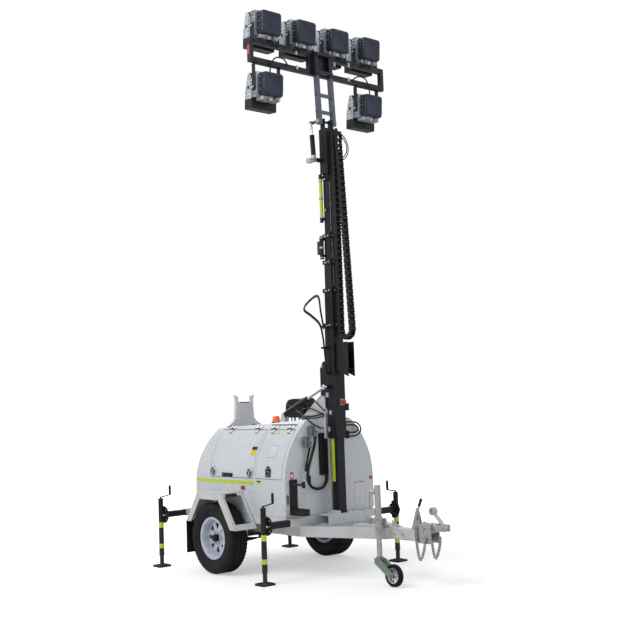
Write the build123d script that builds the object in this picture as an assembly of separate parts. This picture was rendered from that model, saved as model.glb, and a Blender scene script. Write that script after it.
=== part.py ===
"""Mobile light tower: a single-axle trailer with a generator canopy and a telescopic mast.

Millimetres. X points to the drawbar, Y to the trailer's left, Z up, with the ground at 0.
This script measures X from the axle. The saved files measure it from the middle of the whole
length, so save() moves every solid back by MIDDLE_X. The trailer stands on four legs and its
jockey wheel, with the mast raised and its sections nested.
"""
import os
from math import asin, atan2, cos, degrees, radians, sin, tan

from build123d import *

os.makedirs("parts", exist_ok=True)

# Road wheels
TYRE_R = 350
TYRE_W = 215
HALF_W = 570
WHEEL_GAP = 42.5
TRACK = 2 * (HALF_W + WHEEL_GAP) + TYRE_W
RIM_R = 208
RIM_BEAD_R = 190
RIM_W = 170
FLANGE_T = 5
BEAD_FIT = 0.3
HUB_R = 55
STUD_PCD = 114
STUD_R = 6
LUG_DEPTH = 4
WINDOWS = 8
TYRE_SIDES = 48

# Chassis frame
RAIL_W = 50
RAIL_H = 100
RAIL_WALL = 4
RAIL_Y = HALF_W - 140
FRAME_TOP = 497
FRAME_REAR = -900
FRAME_FRONT = 941
SPRING_W = 45
SPRING_LEAF = 8
SPRING_SPAN = 640

# Drawbar and coupling
COUPLING_REACH = 2400
DRAW_FRONT = COUPLING_REACH - 270
DRAW_APEX_X = DRAW_FRONT - 380
DRAW_APEX_Y = 72
CENTRE_BEAM_REAR = DRAW_APEX_X - 500
CENTRE_BEAM_W = 100
TIE_X = 1030
COUPLING_Z = 530
TAIL_REACH = -934
MIDDLE_X = (COUPLING_REACH + TAIL_REACH) / 2

# Canopy: a bell shape whose sides rise straight and then curve in
SILL = 585
CANOPY_REAR = -610
CANOPY_FRONT = 880
BEND_Z = 900
SIDE_R = 730
ROOF_FRONT_Z = 1490
ROOF_REAR_Z = 1412
ROOF_REAR_X = -467
REAR_LEAN_Z = 760
WALL = 30
GAP = 5
REAR_SEAM = -400
CROWN_Y = HALF_W - 250

# Doors
DOOR_SILL = 930
DOOR_TOP = 1400
DOOR_REAR = -350
DOOR_FRONT = 385
PANEL_REAR = 420
PANEL_FRONT = 832
HINGE_R = 8
HINGE_PIN_R = 4
HINGE_LEN = 40
HINGE_OFF = 6
RUN = 0.4

# Outriggers
LEG_REAR_X = -850
LEG_FRONT_X = 905
LEG_Y = HALF_W + 290
ARM_SIDE = 60
SLEEVE_WALL = 5
ARM_FIT = 0.3
LEG_R = 26
LEG_TOP = 700
LEG_BOTTOM = 115
FOOT_R = 21
FOOT_PLATE = 135
PLATE_T = 8
SWIVEL_R = 88
CRANK_REACH = 115

# Mast
PIVOT_X = 900
PIVOT_Z = 1660
PIVOT_PIN_R = 16
MAST_X = 1007.5
BASE_SIDE = 125
BASE_WALL = 5
SECTION_WALL = 4
SECTION_FIT = 2
PAD_FIT = 0.3
PAD_H = 60
BASE_LOW = 1300
TAIL_SIDE = 90
SECTION_TOPS = (2420, 2760, 3040, 3300, 3960)
SECTION_FOOT = 1340
SECTION_STEP = 20
COLLAR_H = 40
COLLAR_OUT = 12
TOP_BLOCK_Z = 4350
CHAIN_IN = 1095

# Lamp head
HEAD_PIVOT_Z = 4420
POST_Y = 90
POST_SIDE = 42
BAR_SIDE = 50
BAR_X = 925
UPPER_BAR_Z = 5110
LOWER_BAR_Z = 4925
BAR_HALF = 880
LAMP_Y = (-660, -220, 220, 660)
LAMP_TOP_Z = 5300
LAMP_LOW_Z = 4700
LAMP_PITCH = 4
LAMP_W = 320
LAMP_X = 910

# Jockey
JOCKEY_X = DRAW_APEX_X - 25
JOCKEY_Y = -180
JOCKEY_R = 30
JOCKEY_TOP = 890
JOCKEY_BOTTOM = 470
JOCKEY_INNER_R = 24
JOCKEY_PIVOT_Z = 560
JOCKEY_WHEEL_R = 100
JOCKEY_WHEEL_W = 60
JOCKEY_TRAIL = 175


def box(x, y, z):
    """A box from its low and high X, Y and Z."""
    size = Box(x[1] - x[0], y[1] - y[0], z[1] - z[0])
    return Pos((x[0] + x[1]) / 2, (y[0] + y[1]) / 2, (z[0] + z[1]) / 2) * size


TURN = {"X": Rot(0, 90, 0), "Y": Rot(-90, 0, 0), "Z": Rot(0, 0, 0)}


def rod(axis, at, radius, length, bore=0):
    """A cylinder, or a tube, centred on a point and lying along an axis."""
    solid = Cylinder(radius, length)
    if bore:
        solid -= Cylinder(bore, length + 2)
    return Pos(*at) * TURN[axis] * solid


def link(a, b, radius):
    """A round bar from point a to point b."""
    start = Vector(*a)
    way = Vector(*b) - start
    plane = Plane(origin=start, z_dir=way)
    return Solid.extrude(Face(Wire(Edge.make_circle(radius, plane))), way)


def hose(points, radius):
    """A round hose of straight runs and tangent arcs along a list of points."""
    bends = []
    for before, corner, after in zip(points, points[1:], points[2:]):
        run_in = Vector(*corner) - Vector(*before)
        run_out = Vector(*after) - Vector(*corner)
        half_turn = radians(run_in.get_angle(run_out)) / 2
        bends.append(0.45 * min(run_in.length, run_out.length) / tan(half_turn))
    route = FilletPolyline(*points, radius=bends) if bends else Line(*points)
    section = Plane(origin=route @ 0, z_dir=route % 0) * Circle(radius)
    return sweep(section, path=route)


def plate_xz(points, y):
    """A flat plate cut to an outline of (x, z) points, from low to high y."""
    face = make_face(Polyline(*[(px, y[0], pz) for px, pz in points], close=True))
    return extrude(face, y[1] - y[0], dir=(0, 1, 0))


def plate_xy(points, z):
    """A flat plate cut to an outline of (x, y) points, from low to high z."""
    face = make_face(Polyline(*[(px, py, z[0]) for px, py in points], close=True))
    return extrude(face, z[1] - z[0], dir=(0, 0, 1))


def plate_yz(points, x):
    """A flat plate cut to an outline of (y, z) points, from low to high x."""
    face = make_face(Polyline(*[(x[0], py, pz) for py, pz in points], close=True))
    return extrude(face, x[1] - x[0], dir=(1, 0, 0))


def mirrored(solids):
    """The same solids on the other side of the trailer."""
    return [mirror(solid, Plane.XZ) for solid in solids]


def pair(*solids):
    return list(solids) + mirrored(solids)


def save(node, solids):
    """Write one node, as one solid or as a group of them."""
    flat = []
    for item in solids:
        flat.extend(item.solids())
    flat = [Pos(-MIDDLE_X, 0, 0) * solid for solid in flat]
    shape = flat[0] if len(flat) == 1 else Compound(children=flat)
    export_step(shape, f"parts/{node}.step")


def side_y(z, inset=0):
    """Half the canopy's width at a height, less an inset along the surface's normal."""
    if z <= BEND_Z:
        return HALF_W - inset
    radius = SIDE_R - inset
    return HALF_W - SIDE_R + (radius ** 2 - (z - BEND_Z) ** 2) ** 0.5


def bell(inset, x, floor):
    """The bell-shaped body between two X, inset from the outer skin."""
    top = ROOF_FRONT_Z - inset
    angle = asin((top - BEND_Z) / (SIDE_R - inset))
    middle_z = BEND_Z + (SIDE_R - inset) * sin(angle / 2)
    corners = [(x[0], side_y(z, inset), z) for z in (floor, BEND_Z, middle_z, top)]
    other = [(px, -py, pz) for px, py, pz in corners]
    outline = [
        Line(other[0], corners[0]),
        Line(corners[0], corners[1]),
        ThreePointArc(*corners[1:]),
        Line(corners[3], other[3]),
        ThreePointArc(other[3], other[2], other[1]),
        Line(other[1], other[0]),
    ]
    return extrude(make_face(outline), x[1] - x[0], dir=(1, 0, 0))


def side_cut(inset, floor):
    """The canopy's outline from the side: sloping roof and rounded, leaning rear."""
    half = HALF_W + 50
    front = (CANOPY_FRONT - inset, -half, ROOF_FRONT_Z - inset)
    brow = (ROOF_REAR_X + inset, -half, ROOF_REAR_Z - inset)
    swell = (-570 + inset, -half, 1120)
    heel = (CANOPY_REAR + inset, -half, REAR_LEAN_Z)
    foot = (CANOPY_REAR + inset, -half, floor)
    toe = (CANOPY_FRONT - inset, -half, floor)
    outline = [
        Line(toe, front),
        Line(front, brow),
        ThreePointArc(brow, swell, heel),
        Line(heel, foot),
        Line(foot, toe),
    ]
    return extrude(make_face(outline), 2 * half, dir=(0, 1, 0))


RAMP = (ROOF_FRONT_Z - ROOF_REAR_Z) / (CANOPY_FRONT - ROOF_REAR_X)


def roof_z(x):
    """The roof's height at an X on the flat strip."""
    return ROOF_FRONT_Z - (CANOPY_FRONT - x) * RAMP


# Canopy shell
outer = bell(0, (CANOPY_REAR, CANOPY_FRONT), SILL) & side_cut(0, SILL)
inner = bell(WALL, (CANOPY_REAR - 1, CANOPY_FRONT + 1), SILL - 5) & side_cut(WALL, SILL - 5)
shell = outer - inner
wide = (-HALF_W - 60, HALF_W + 60)
tall = (SILL - 10, ROOF_FRONT_Z + 60)
front_wall = CANOPY_FRONT - WALL
canopy_front = shell & box((front_wall, CANOPY_FRONT + 5), wide, tall)
canopy_rear = shell & box((CANOPY_REAR - 5, REAR_SEAM), wide, tall)
middle = shell & box((REAR_SEAM, front_wall), wide, tall)
crown = box((REAR_SEAM, front_wall), wide, (DOOR_TOP, tall[1]))
crown += box((REAR_SEAM, front_wall), (-CROWN_Y, CROWN_Y), (DOOR_TOP - 60, tall[1]))
canopy_roof = middle & crown
walls = middle - crown


def door_leaf(side, x, top):
    """A curved door cut from the shell, and the opening that it leaves."""
    y = (0, HALF_W + 60) if side > 0 else (-HALF_W - 60, 0)
    opening = box(x, y, (DOOR_SILL, top))
    low_z = DOOR_SILL + GAP
    leaf = walls & box((x[0] + GAP, x[1] - GAP), y, (low_z, top - GAP))
    return leaf, opening


def hinge(side, x):
    """A butt hinge at the top of a door: the roof's half and the door's half."""
    y = side * (side_y(DOOR_TOP) + HINGE_OFF)
    z = DOOR_TOP + HINGE_OFF
    half = HINGE_LEN / 2
    knuckle = rod("X", (x, y, z), HINGE_R, HINGE_LEN, HINGE_PIN_R + RUN)
    low = side * side_y(DOOR_TOP - 34)
    leaf = extrude(make_face(Polyline(
        (x - half, y + side * 7, z - 3),
        (x - half, y + side * 3, z + 5),
        (x - half, side * (side_y(DOOR_TOP - 10) - 4), DOOR_TOP - 10),
        (x - half, low - side * 4, DOOR_TOP - 34),
        (x - half, low + side * 3, DOOR_TOP - 32),
        close=True)), HINGE_LEN, dir=(1, 0, 0))
    moving = (leaf - rod("X", (x, y, z), HINGE_R - 1, HINGE_LEN + 2)) + knuckle
    pin = rod("X", (x, y, z), HINGE_PIN_R, HINGE_LEN * 2)
    lug_at = half + RUN + half / 2
    fixed = pin
    for way in (-1, 1):
        mid = x + way * lug_at
        fixed += rod("X", (mid, y, z), HINGE_R, half)
        high = side * (side_y(DOOR_TOP + 34) + 2)
        fixed += extrude(make_face(Polyline(
            (mid - half / 2, y + side * 2, z + 7),
            (mid - half / 2, y - side * 3, z - 7),
            (mid - half / 2, side * (side_y(DOOR_TOP + 8) - 8), DOOR_TOP + 6),
            (mid - half / 2, high - side * 8, DOOR_TOP + 34),
            (mid - half / 2, high + side * 1, DOOR_TOP + 36),
            close=True)), half, dir=(1, 0, 0))
    return fixed, moving


def latches(side, kind):
    """What a hand holds on a door: two round latches and a bar handle, or one folding handle."""
    if kind == "panel_door":
        y = sorted((side * (HALF_W - 20), side * (HALF_W + 6)))
        low = DOOR_SILL + 25
        return [plate_xz([(590, low), (655, low), (655, low + 65), (622, low + 100), (590, low + 65)], y)]
    latch_x = (DOOR_REAR + 58, DOOR_FRONT - 58)
    items = [rod("Y", (x, side * (HALF_W - 10), DOOR_SILL + 54), 36, 34) for x in latch_x]
    y = sorted((side * (HALF_W - 20), side * (HALF_W + 4)))
    items.append(box((-132, 38), y, (DOOR_SILL + GAP, DOOR_SILL + 42)))
    items.append(rod("X", (-47, side * (HALF_W + 6), DOOR_SILL + 22), 8, 150))
    return items


doors = {}
roof_hinges = []
for side, name in ((-1, "right"), (1, "left")):
    for kind, x in (("service_door", (DOOR_REAR, DOOR_FRONT)), ("panel_door", (PANEL_REAR, PANEL_FRONT))):
        leaf, opening = door_leaf(side, x, DOOR_TOP)
        walls -= opening
        inset = (x[1] - x[0]) * 0.2
        for hinge_x in (x[0] + inset, x[1] - inset):
            fixed, moving = hinge(side, hinge_x)
            roof_hinges.append(fixed)
            leaf += moving
        for item in latches(side, kind):
            leaf += item
        doors[f"{kind}_{name}"] = leaf

for fixed in roof_hinges:
    canopy_roof += fixed

# Floor pan below the canopy, open underneath
pan_x = (CANOPY_REAR, LEG_FRONT_X - ARM_SIDE / 2 - SLEEVE_WALL - ARM_FIT)
pan = box(pan_x, (-HALF_W + 5, HALF_W - 5), (FRAME_TOP, SILL))
pan -= box((pan_x[0] + 4, pan_x[1] - 4), (-HALF_W + 9, HALF_W - 9), (FRAME_TOP - 1, SILL - 4))
save("canopy_front", [canopy_front])
save("canopy_rear", [canopy_rear])
save("canopy_roof", [canopy_roof])
save("canopy_sides", [walls, pan])
for name, leaf in doors.items():
    save(name, [leaf])

# Chassis frame: side rails, cross members and outrigger sleeves
frame_z = (FRAME_TOP - RAIL_H, FRAME_TOP)
rail_y = (RAIL_Y - RAIL_W / 2, RAIL_Y + RAIL_W / 2)


def box_beam(x, y, z, along):
    """A square-section beam, open at both ends of its long axis."""
    solid = box(x, y, z)
    cut = [x, y, z]
    for k in range(3):
        grow = 1 if k == along else -RAIL_WALL
        cut[k] = (cut[k][0] - grow, cut[k][1] + grow)
    return solid - box(*cut)


rails = pair(box_beam((FRAME_REAR, FRAME_FRONT), rail_y, frame_z, 0))
frame = rails[0] + rails[1]
for cross_x in (FRAME_REAR + 25, -330, 330, FRAME_FRONT - 25):
    member = box_beam((cross_x - 25, cross_x + 25), (-rail_y[0], rail_y[0]), frame_z, 1)
    frame += member
arm_half = ARM_SIDE / 2
sleeve_out = arm_half + ARM_FIT + SLEEVE_WALL
ARM_Z = FRAME_TOP + sleeve_out
sleeves = []
for leg_x in (LEG_REAR_X, LEG_FRONT_X):
    sleeve = box((leg_x - sleeve_out, leg_x + sleeve_out), (-HALF_W + 5, HALF_W - 5),
                 (ARM_Z - sleeve_out, ARM_Z + sleeve_out))
    bore = arm_half + ARM_FIT
    sleeve -= box((leg_x - bore, leg_x + bore), wide, (ARM_Z - bore, ARM_Z + bore))
    frame += sleeve
save("chassis_frame", [frame])

# Drawbar: two converging beams, a centre beam and a head gusset
beam_half = RAIL_W / 2
run_x = DRAW_APEX_X - FRAME_FRONT
run_y = RAIL_Y - DRAW_APEX_Y
slope = atan2(run_y, run_x)
skew = beam_half / cos(slope)
near_beam = plate_xy([(FRAME_FRONT, RAIL_Y - skew), (FRAME_FRONT, RAIL_Y + skew),
                      (DRAW_APEX_X, DRAW_APEX_Y + skew), (DRAW_APEX_X, DRAW_APEX_Y - skew)], frame_z)
centre = box((CENTRE_BEAM_REAR, DRAW_FRONT), (-CENTRE_BEAM_W / 2, CENTRE_BEAM_W / 2), frame_z)
tie_end = RAIL_Y - (TIE_X - FRAME_FRONT) * run_y / run_x
tie = box((TIE_X - 30, TIE_X + 30), (-tie_end, tie_end), frame_z)
drawbar = near_beam + mirror(near_beam, Plane.XZ) + centre + tie
drawbar -= box((CENTRE_BEAM_REAR - 1, DRAW_FRONT + 1),
               (-CENTRE_BEAM_W / 2 + 5, CENTRE_BEAM_W / 2 - 5), (frame_z[0] + 5, frame_z[1] - 5))
gusset = plate_xz([(DRAW_APEX_X - 90, frame_z[1] + 55), (DRAW_APEX_X + 210, frame_z[0] + 10),
                   (DRAW_APEX_X - 90, frame_z[0] + 10)],
                  (CENTRE_BEAM_W / 2, CENTRE_BEAM_W / 2 + 8))
gusset -= near_beam
drawbar += gusset
drawbar += mirror(gusset, Plane.XZ)
save("drawbar", [drawbar])

# Mast support: foot beam, post and pivot cheeks
FOOT_BEAM_TOP = SILL
CHEEK_IN = 70
CHEEK_T = 12
POST_HALF = 40
foot_beam = box((950, 1110), (-240, 240), (FRAME_TOP, FOOT_BEAM_TOP))
foot_beam -= box((955, 1105), (-241, 241), (FRAME_TOP + 5, FOOT_BEAM_TOP - 5))
post = box((CANOPY_FRONT, 930), (-POST_HALF, POST_HALF), (SILL, PIVOT_Z - 120))
post -= box((CANOPY_FRONT + 5, 925), (-POST_HALF + 5, POST_HALF - 5), (SILL - 1, PIVOT_Z - 125))
post += box((CANOPY_FRONT, 930), (-CHEEK_IN, CHEEK_IN), (1300, 1306))
post += box((CANOPY_FRONT, 930), (-CHEEK_IN, CHEEK_IN), (PIVOT_Z - 126, PIVOT_Z - 120))
post += box((CANOPY_FRONT, 955), (-CHEEK_IN, CHEEK_IN), (FRAME_TOP + 80, SILL + 15))
cup = box((940, 1075), (-60, 60), (SILL, SILL + 26)) - box((948, 1076), (-52, 52), (SILL - 1, SILL + 27))
post += cup
cheek = plate_xz([(CANOPY_FRONT + 50, 1300), (CANOPY_FRONT + 50, PIVOT_Z + 20),
                  (PIVOT_X + 20, PIVOT_Z + 55), (PIVOT_X - 40, PIVOT_Z + 55),
                  (560, ROOF_FRONT_Z + 6), (560, ROOF_FRONT_Z - 18), (CANOPY_FRONT, ROOF_FRONT_Z),
                  (CANOPY_FRONT, 1300)], (CHEEK_IN, CHEEK_IN + CHEEK_T))
cheek -= outer
pin_bore = rod("Y", (PIVOT_X, 0, PIVOT_Z), PIVOT_PIN_R + RUN, 400)
support = [post + cheek + mirror(cheek, Plane.XZ) + foot_beam]
pivot_pin = rod("Y", (PIVOT_X, 0, PIVOT_Z), PIVOT_PIN_R, 2 * (CHEEK_IN + CHEEK_T + 6))
support[0] += pivot_pin
TILT_FOOT = (350, -125, 1535)
TILT_PIN = (985, -125, 1800)
EYE_HALF = 17
EAR_T = 6
foot_x, foot_y, foot_z = TILT_FOOT
ears = rod("Y", TILT_FOOT, 10, 2 * (EYE_HALF + 3 + EAR_T) + 6)
for way in (-1, 1):
    ear_y = sorted((foot_y + way * (EYE_HALF + 3), foot_y + way * (EYE_HALF + 3 + EAR_T)))
    ears += plate_xz([(foot_x - 50, roof_z(foot_x - 50) - 10), (foot_x + 50, roof_z(foot_x + 50) - 10),
                      (foot_x + 18, foot_z + 8), (foot_x + 6, foot_z + 18), (foot_x - 6, foot_z + 18),
                      (foot_x - 18, foot_z + 8)], ear_y)
ears -= outer
support.append(ears)
save("mast_support", support)

# Axle and leaf springs
axle = box((-25, 25), (-TRACK / 2 + 130, TRACK / 2 - 130), (TYRE_R - 25, TYRE_R + 25))
stub = rod("Y", (0, TRACK / 2 - 60, TYRE_R), 20, 150)
spring_y = (RAIL_Y - SPRING_W / 2, RAIL_Y + SPRING_W / 2)
leaves = []
seat_z = TYRE_R - 25
for k, share in enumerate((1.0, 0.8, 0.6, 0.4)):
    span = SPRING_SPAN * share / 2
    rise = 30 * share ** 2
    z = seat_z - k * SPRING_LEAF
    lower = ThreePointArc((-span, spring_y[0], z + rise - SPRING_LEAF),
                          (0, spring_y[0], z - SPRING_LEAF), (span, spring_y[0], z + rise - SPRING_LEAF))
    upper = ThreePointArc((span, spring_y[0], z + rise), (0, spring_y[0], z),
                          (-span, spring_y[0], z + rise))
    strip = extrude(make_face([lower, Line(lower @ 1, upper @ 0), upper, Line(upper @ 1, lower @ 0)]),
                    SPRING_W, dir=(0, 1, 0))
    leaves.append(strip)
pack = leaves[0] + leaves[1] + leaves[2] + leaves[3]
for way in (-1, 1):
    eye_x = way * SPRING_SPAN / 2
    pack += rod("Y", (eye_x, RAIL_Y, seat_z + 30), 16, SPRING_W)
    hanger = box((eye_x - 20, eye_x + 20), (RAIL_Y - 32, RAIL_Y + 32), (seat_z + 15, frame_z[0]))
    hanger -= box((eye_x - 21, eye_x + 21), (spring_y[0] - 2, spring_y[1] + 2),
                  (seat_z, seat_z + 60))
    pack += hanger + rod("Y", (eye_x, RAIL_Y, seat_z + 30), 8, 68)
running = axle + pack + stub
running += mirror(pack, Plane.XZ)
running += mirror(stub, Plane.XZ)
save("axle_and_springs", [running])

# Wheels
wheel_y = TRACK / 2


def ring(points):
    """A body turned about the wheel's axle from (radius, width) points."""
    outline = make_face(Polyline(*[(r, w, 0) for r, w in points], close=True))
    return revolve(outline, Axis.Y, 360)


def facets(profile):
    """A many-sided body about the wheel's axle from (radius, width) points, given in order of width."""
    rings = []
    for r, w in profile:
        plane = Plane(origin=(0, w, 0), z_dir=(0, 1, 0))
        rings.append(plane * RegularPolygon(r, TYRE_SIDES, major_radius=False))
    return loft(rings, ruled=True)


def tyre_solid():
    half = TYRE_W / 2
    seat = RIM_BEAD_R + BEAD_FIT
    bead = RIM_W / 2 - FLANGE_T - BEAD_FIT
    outer_half = [(RIM_R + 2, bead), (RIM_R + 16, half - 12), (TYRE_R - 70, half),
                  (TYRE_R - 30, half - 4), (TYRE_R - LUG_DEPTH, half - 22)]
    outside = facets([(r, -w) for r, w in outer_half] + outer_half[::-1])
    inside = facets([(RIM_R + BEAD_FIT, -bead - 1), (RIM_R + BEAD_FIT, -bead + 2), (seat, -bead + 9),
                     (seat, bead - 9), (RIM_R + BEAD_FIT, bead - 2), (RIM_R + BEAD_FIT, bead + 1)])
    return outside - inside


def rim_solid():
    half = RIM_W / 2
    rim = ring([(RIM_BEAD_R - 4, -half), (RIM_R, -half), (RIM_R, -half + FLANGE_T),
                (RIM_BEAD_R, -half + 14), (RIM_BEAD_R - 8, -20), (RIM_BEAD_R - 8, 20),
                (RIM_BEAD_R, half - 14), (RIM_R, half - FLANGE_T), (RIM_R, half),
                (RIM_BEAD_R - 4, half), (RIM_BEAD_R - 14, half - 14),
                (RIM_BEAD_R - 16, 24), (RIM_BEAD_R - 16, -24), (RIM_BEAD_R - 14, -half + 14)])
    dish = ring([(24, 22), (148, 22), (RIM_BEAD_R - 12, 10), (RIM_BEAD_R - 12, 3), (146, 15), (24, 15)])
    for k in range(WINDOWS):
        window = plate_xz([(88, -8), (88, 8), (142, 30), (142, -30)], (0, 40))
        dish -= Rot(0, 360 / WINDOWS * k, 0) * window
    rim += dish
    rim += ring([(20.4, -40), (HUB_R, -40), (HUB_R, 22), (34, 26), (34, 62), (26, 68), (20.4, 68)])
    for k in range(6):
        nut = Pos(STUD_PCD / 2, 21, 0) * Rot(-90, 0, 0) * extrude(RegularPolygon(STUD_R + 5, 6), 20)
        rim += Rot(0, 60 * k, 0) * nut
    return rim


tyre = tyre_solid()
rim = rim_solid()
for side, name in ((-1, "right"), (1, "left")):
    place = Pos(0, side * wheel_y, TYRE_R)
    turn = Rot(0, 0, 180) if side < 0 else Rot(0, 0, 0)
    save(f"tyre_{name}", [place * turn * tyre])
    save(f"rim_{name}", [place * turn * rim])

# Mudguards and flaps
GUARD_IN = HALF_W + 6
GUARD_OUT = TRACK / 2 + TYRE_W / 2 + 12.5
GUARD_T = 4
guard_line = [(-405, 500), (-200, 800), (200, 800), (430, 455)]
guard_inner = [(-405 + 5, 497), (-198, 800 - GUARD_T), (198, 800 - GUARD_T), (430 - 5, 452)]
guard = plate_xz(guard_line + guard_inner[::-1], (GUARD_IN, GUARD_OUT))
apron = [(-403, 500), (-198, 798), (198, 798), (428, 455), (345, 455), (160, 732), (-160, 732), (-321, 500)]
lip = plate_xz(apron, (GUARD_OUT - GUARD_T, GUARD_OUT))
guard_side = guard + lip
front_hole = Pos(315, (GUARD_IN + GUARD_OUT) / 2, 640) * Rot(0, 56.3, 0) * Box(310, 200, 60)
guard_side -= front_hole
guard_side += box((-150, 150), (HALF_W, GUARD_IN), (760, 800))
save("mudguards", pair(guard_side))
flap = box((-413, -405), (GUARD_IN + 10, GUARD_OUT - 4), (180, 506))
save("mudflaps", pair(flap))

# Power pack: one plain block for engine and alternator
save("engine_block", [box((-330, 560), (-260, 260), (SILL, 1180))])

# Black hoods on the roof, on short round legs
HOOD_Y = (85, 200)
hood_side = [(112, 1500), (112, 1600), (122, 1650), (160, 1685), (240, 1696), (330, 1689), (405, 1672), (405, 1500)]
hood_end = [(100, 1500), (100, 1660), (125, 1692), (170, 1703), (205, 1692), (240, 1655), (240, 1500)]
humps = plate_xz(hood_side, HOOD_Y) + plate_yz(hood_end, (300, 430))
for leg_x, leg_y in ((130, 100), (190, 100), (250, 100), (310, 100), (130, 185), (410, 115), (410, 225)):
    humps += rod("Z", (leg_x, leg_y, 1470), 9, 70)
humps -= outer
save("roof_hoods", [humps])

# Rest bracket on the roof: a folded plate across the trailer, with a saddle and two horns
SADDLE_Z = 1672
BRACKET_X = -480
BRACKET_DEEP = 40
FOLD_T = 6
half_plate = [(0, 1200), (250, 1200), (250, 1418), (205, 1440), (150, 1478), (122, 1512), (110, 1640),
              (112, 1715), (124, 1755), (112, 1752), (98, 1722), (88, 1740), (92, 1690), (60, SADDLE_Z),
              (0, SADDLE_Z)]


def bracket_blank(x, shrink):
    """The bracket's outline drawn in by a margin and given a depth along X."""
    right = [(y, z) for y, z in half_plate]
    points = right + [(-y, z) for y, z in right[::-1][1:-1]]
    face = make_face(Polyline(*[(x[0], y, z) for y, z in points], close=True))
    if shrink:
        face = offset(face, -shrink, kind=Kind.INTERSECTION)
    return extrude(face, x[1] - x[0], dir=(1, 0, 0))


bracket = bracket_blank((BRACKET_X - BRACKET_DEEP, BRACKET_X), 0)
hollow = box((BRACKET_X - BRACKET_DEEP - 1, BRACKET_X - FOLD_T), (-104, 104), (1190, SADDLE_Z - FOLD_T))
bracket -= hollow
for way in (-1, 1):
    bracket -= rod("X", (BRACKET_X, way * 196, 1432), 11, 200)
bracket -= outer
save("rest_bracket", [bracket])

# Signal lamps: beacon, side markers, tail lamps
beacon_x = -20
beacon_z = roof_z(beacon_x)
beacon = Pos(beacon_x, 60, beacon_z) * Cylinder(52, 20, align=(Align.CENTER, Align.CENTER, Align.MIN))
beacon += Pos(beacon_x, 60, beacon_z + 20) * Cone(46, 38, 68, align=(Align.CENTER, Align.CENTER, Align.MIN))
beacon -= outer
signal = [beacon]
for side in (-1, 1):
    signal.append(box((190, 240), (side * HALF_W, side * (HALF_W + 14)) if side > 0
                      else (-HALF_W - 14, -HALF_W), (820, 850)))
    tail_y = (side * (RAIL_Y - 50) - 60, side * (RAIL_Y - 50) + 60)
    signal.append(box((TAIL_REACH, FRAME_REAR), tail_y, (410, 480)))
save("signal_lamps", signal)

# Empty extinguisher bracket on the front face
HOLDER_Y = 45 - HALF_W
SHELF = (HOLDER_Y + 10, HOLDER_Y + 90)
holder = box((CANOPY_FRONT, CANOPY_FRONT + 12), (HOLDER_Y + 5, HOLDER_Y + 95), (600, 930))
holder += box((CANOPY_FRONT, CANOPY_FRONT + 190), SHELF, (600, 606))
holder += box((CANOPY_FRONT + 184, CANOPY_FRONT + 190), SHELF, (600, 660))
for wall_y in (SHELF[0], SHELF[1] - 4):
    holder += box((CANOPY_FRONT, CANOPY_FRONT + 190), (wall_y, wall_y + 4), (600, 660))
holder += box((CANOPY_FRONT, CANOPY_FRONT + 190), (SHELF[0] - 4, SHELF[0]), (880, 900))
holder += box((CANOPY_FRONT + 186, CANOPY_FRONT + 190), (SHELF[0] - 4, SHELF[0] + 35), (860, 920))
save("extinguisher_bracket", [holder])

# Power sockets and cable glands on the front face
sockets = []
for y, z in ((-226, 1385), (-300, 1280)):
    unit = box((CANOPY_FRONT, CANOPY_FRONT + 16), (y - 36, y + 36), (z - 44, z + 44))
    unit += link((CANOPY_FRONT + 2, y, z + 8), (CANOPY_FRONT + 52, y, z - 26), 29)
    unit += link((CANOPY_FRONT + 44, y, z - 18), (CANOPY_FRONT + 58, y, z - 62), 21)
    unit += box((CANOPY_FRONT, CANOPY_FRONT + 70), (y - 50, y - 42), (z - 40, z + 40))
    unit += box((CANOPY_FRONT, CANOPY_FRONT + 10), (y - 50, y - 30), (z - 30, z + 30))
    unit -= box((CANOPY_FRONT - 50, CANOPY_FRONT), wide, tall)
    sockets.append(unit)
save("power_sockets", sockets)

# Short hoses between the housings, each one held at both of its ends
back_plate = plate_yz([(-140, 950), (-POST_HALF - 1, 950), (-POST_HALF - 1, 1299.7), (-82.3, 1299.7),
                       (-82.3, 1354), (-140, 1354)], (CANOPY_FRONT, CANOPY_FRONT + 25))
gland_block = box((CANOPY_FRONT, CANOPY_FRONT + 36), (222, 240), (1285, 1362))
stub = rod("Z", (CANOPY_FRONT + 8, -267, 916), 8, 80)
FRONT_HOSES = [
    (14, [(938, -226, 1321), (940, -240, 1240), (940, -284, 1141), (940, -334, 1009), (940, -342, 915),
          (938, -298, 850), (930, -214, 820), (915, -120, 832), (900, -64, 890), (894, -62, 949.8)]),
    (10, [(938, -300, 1216), (912, -302, 1150), (900, -308, 1080), (893, -312, 1030), (880.2, -312, 1000)]),
    (6, [(888, -429.8, 882), (888, -350, 877), (880.2, -338, 872)]),
    (8, [(906, 240.2, 1342), (915, 330, 1342), (925, 362, 1375), (925, 325, 1412), (920, 220, 1422),
         (912, 130, 1400), (908, 82.2, 1376)]),
    (8, [(906, 240.2, 1304), (915, 350, 1306), (930, 398, 1370), (930, 340, 1440), (922, 220, 1452),
         (914, 130, 1432), (910, 82.2, 1412)]),
]
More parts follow.
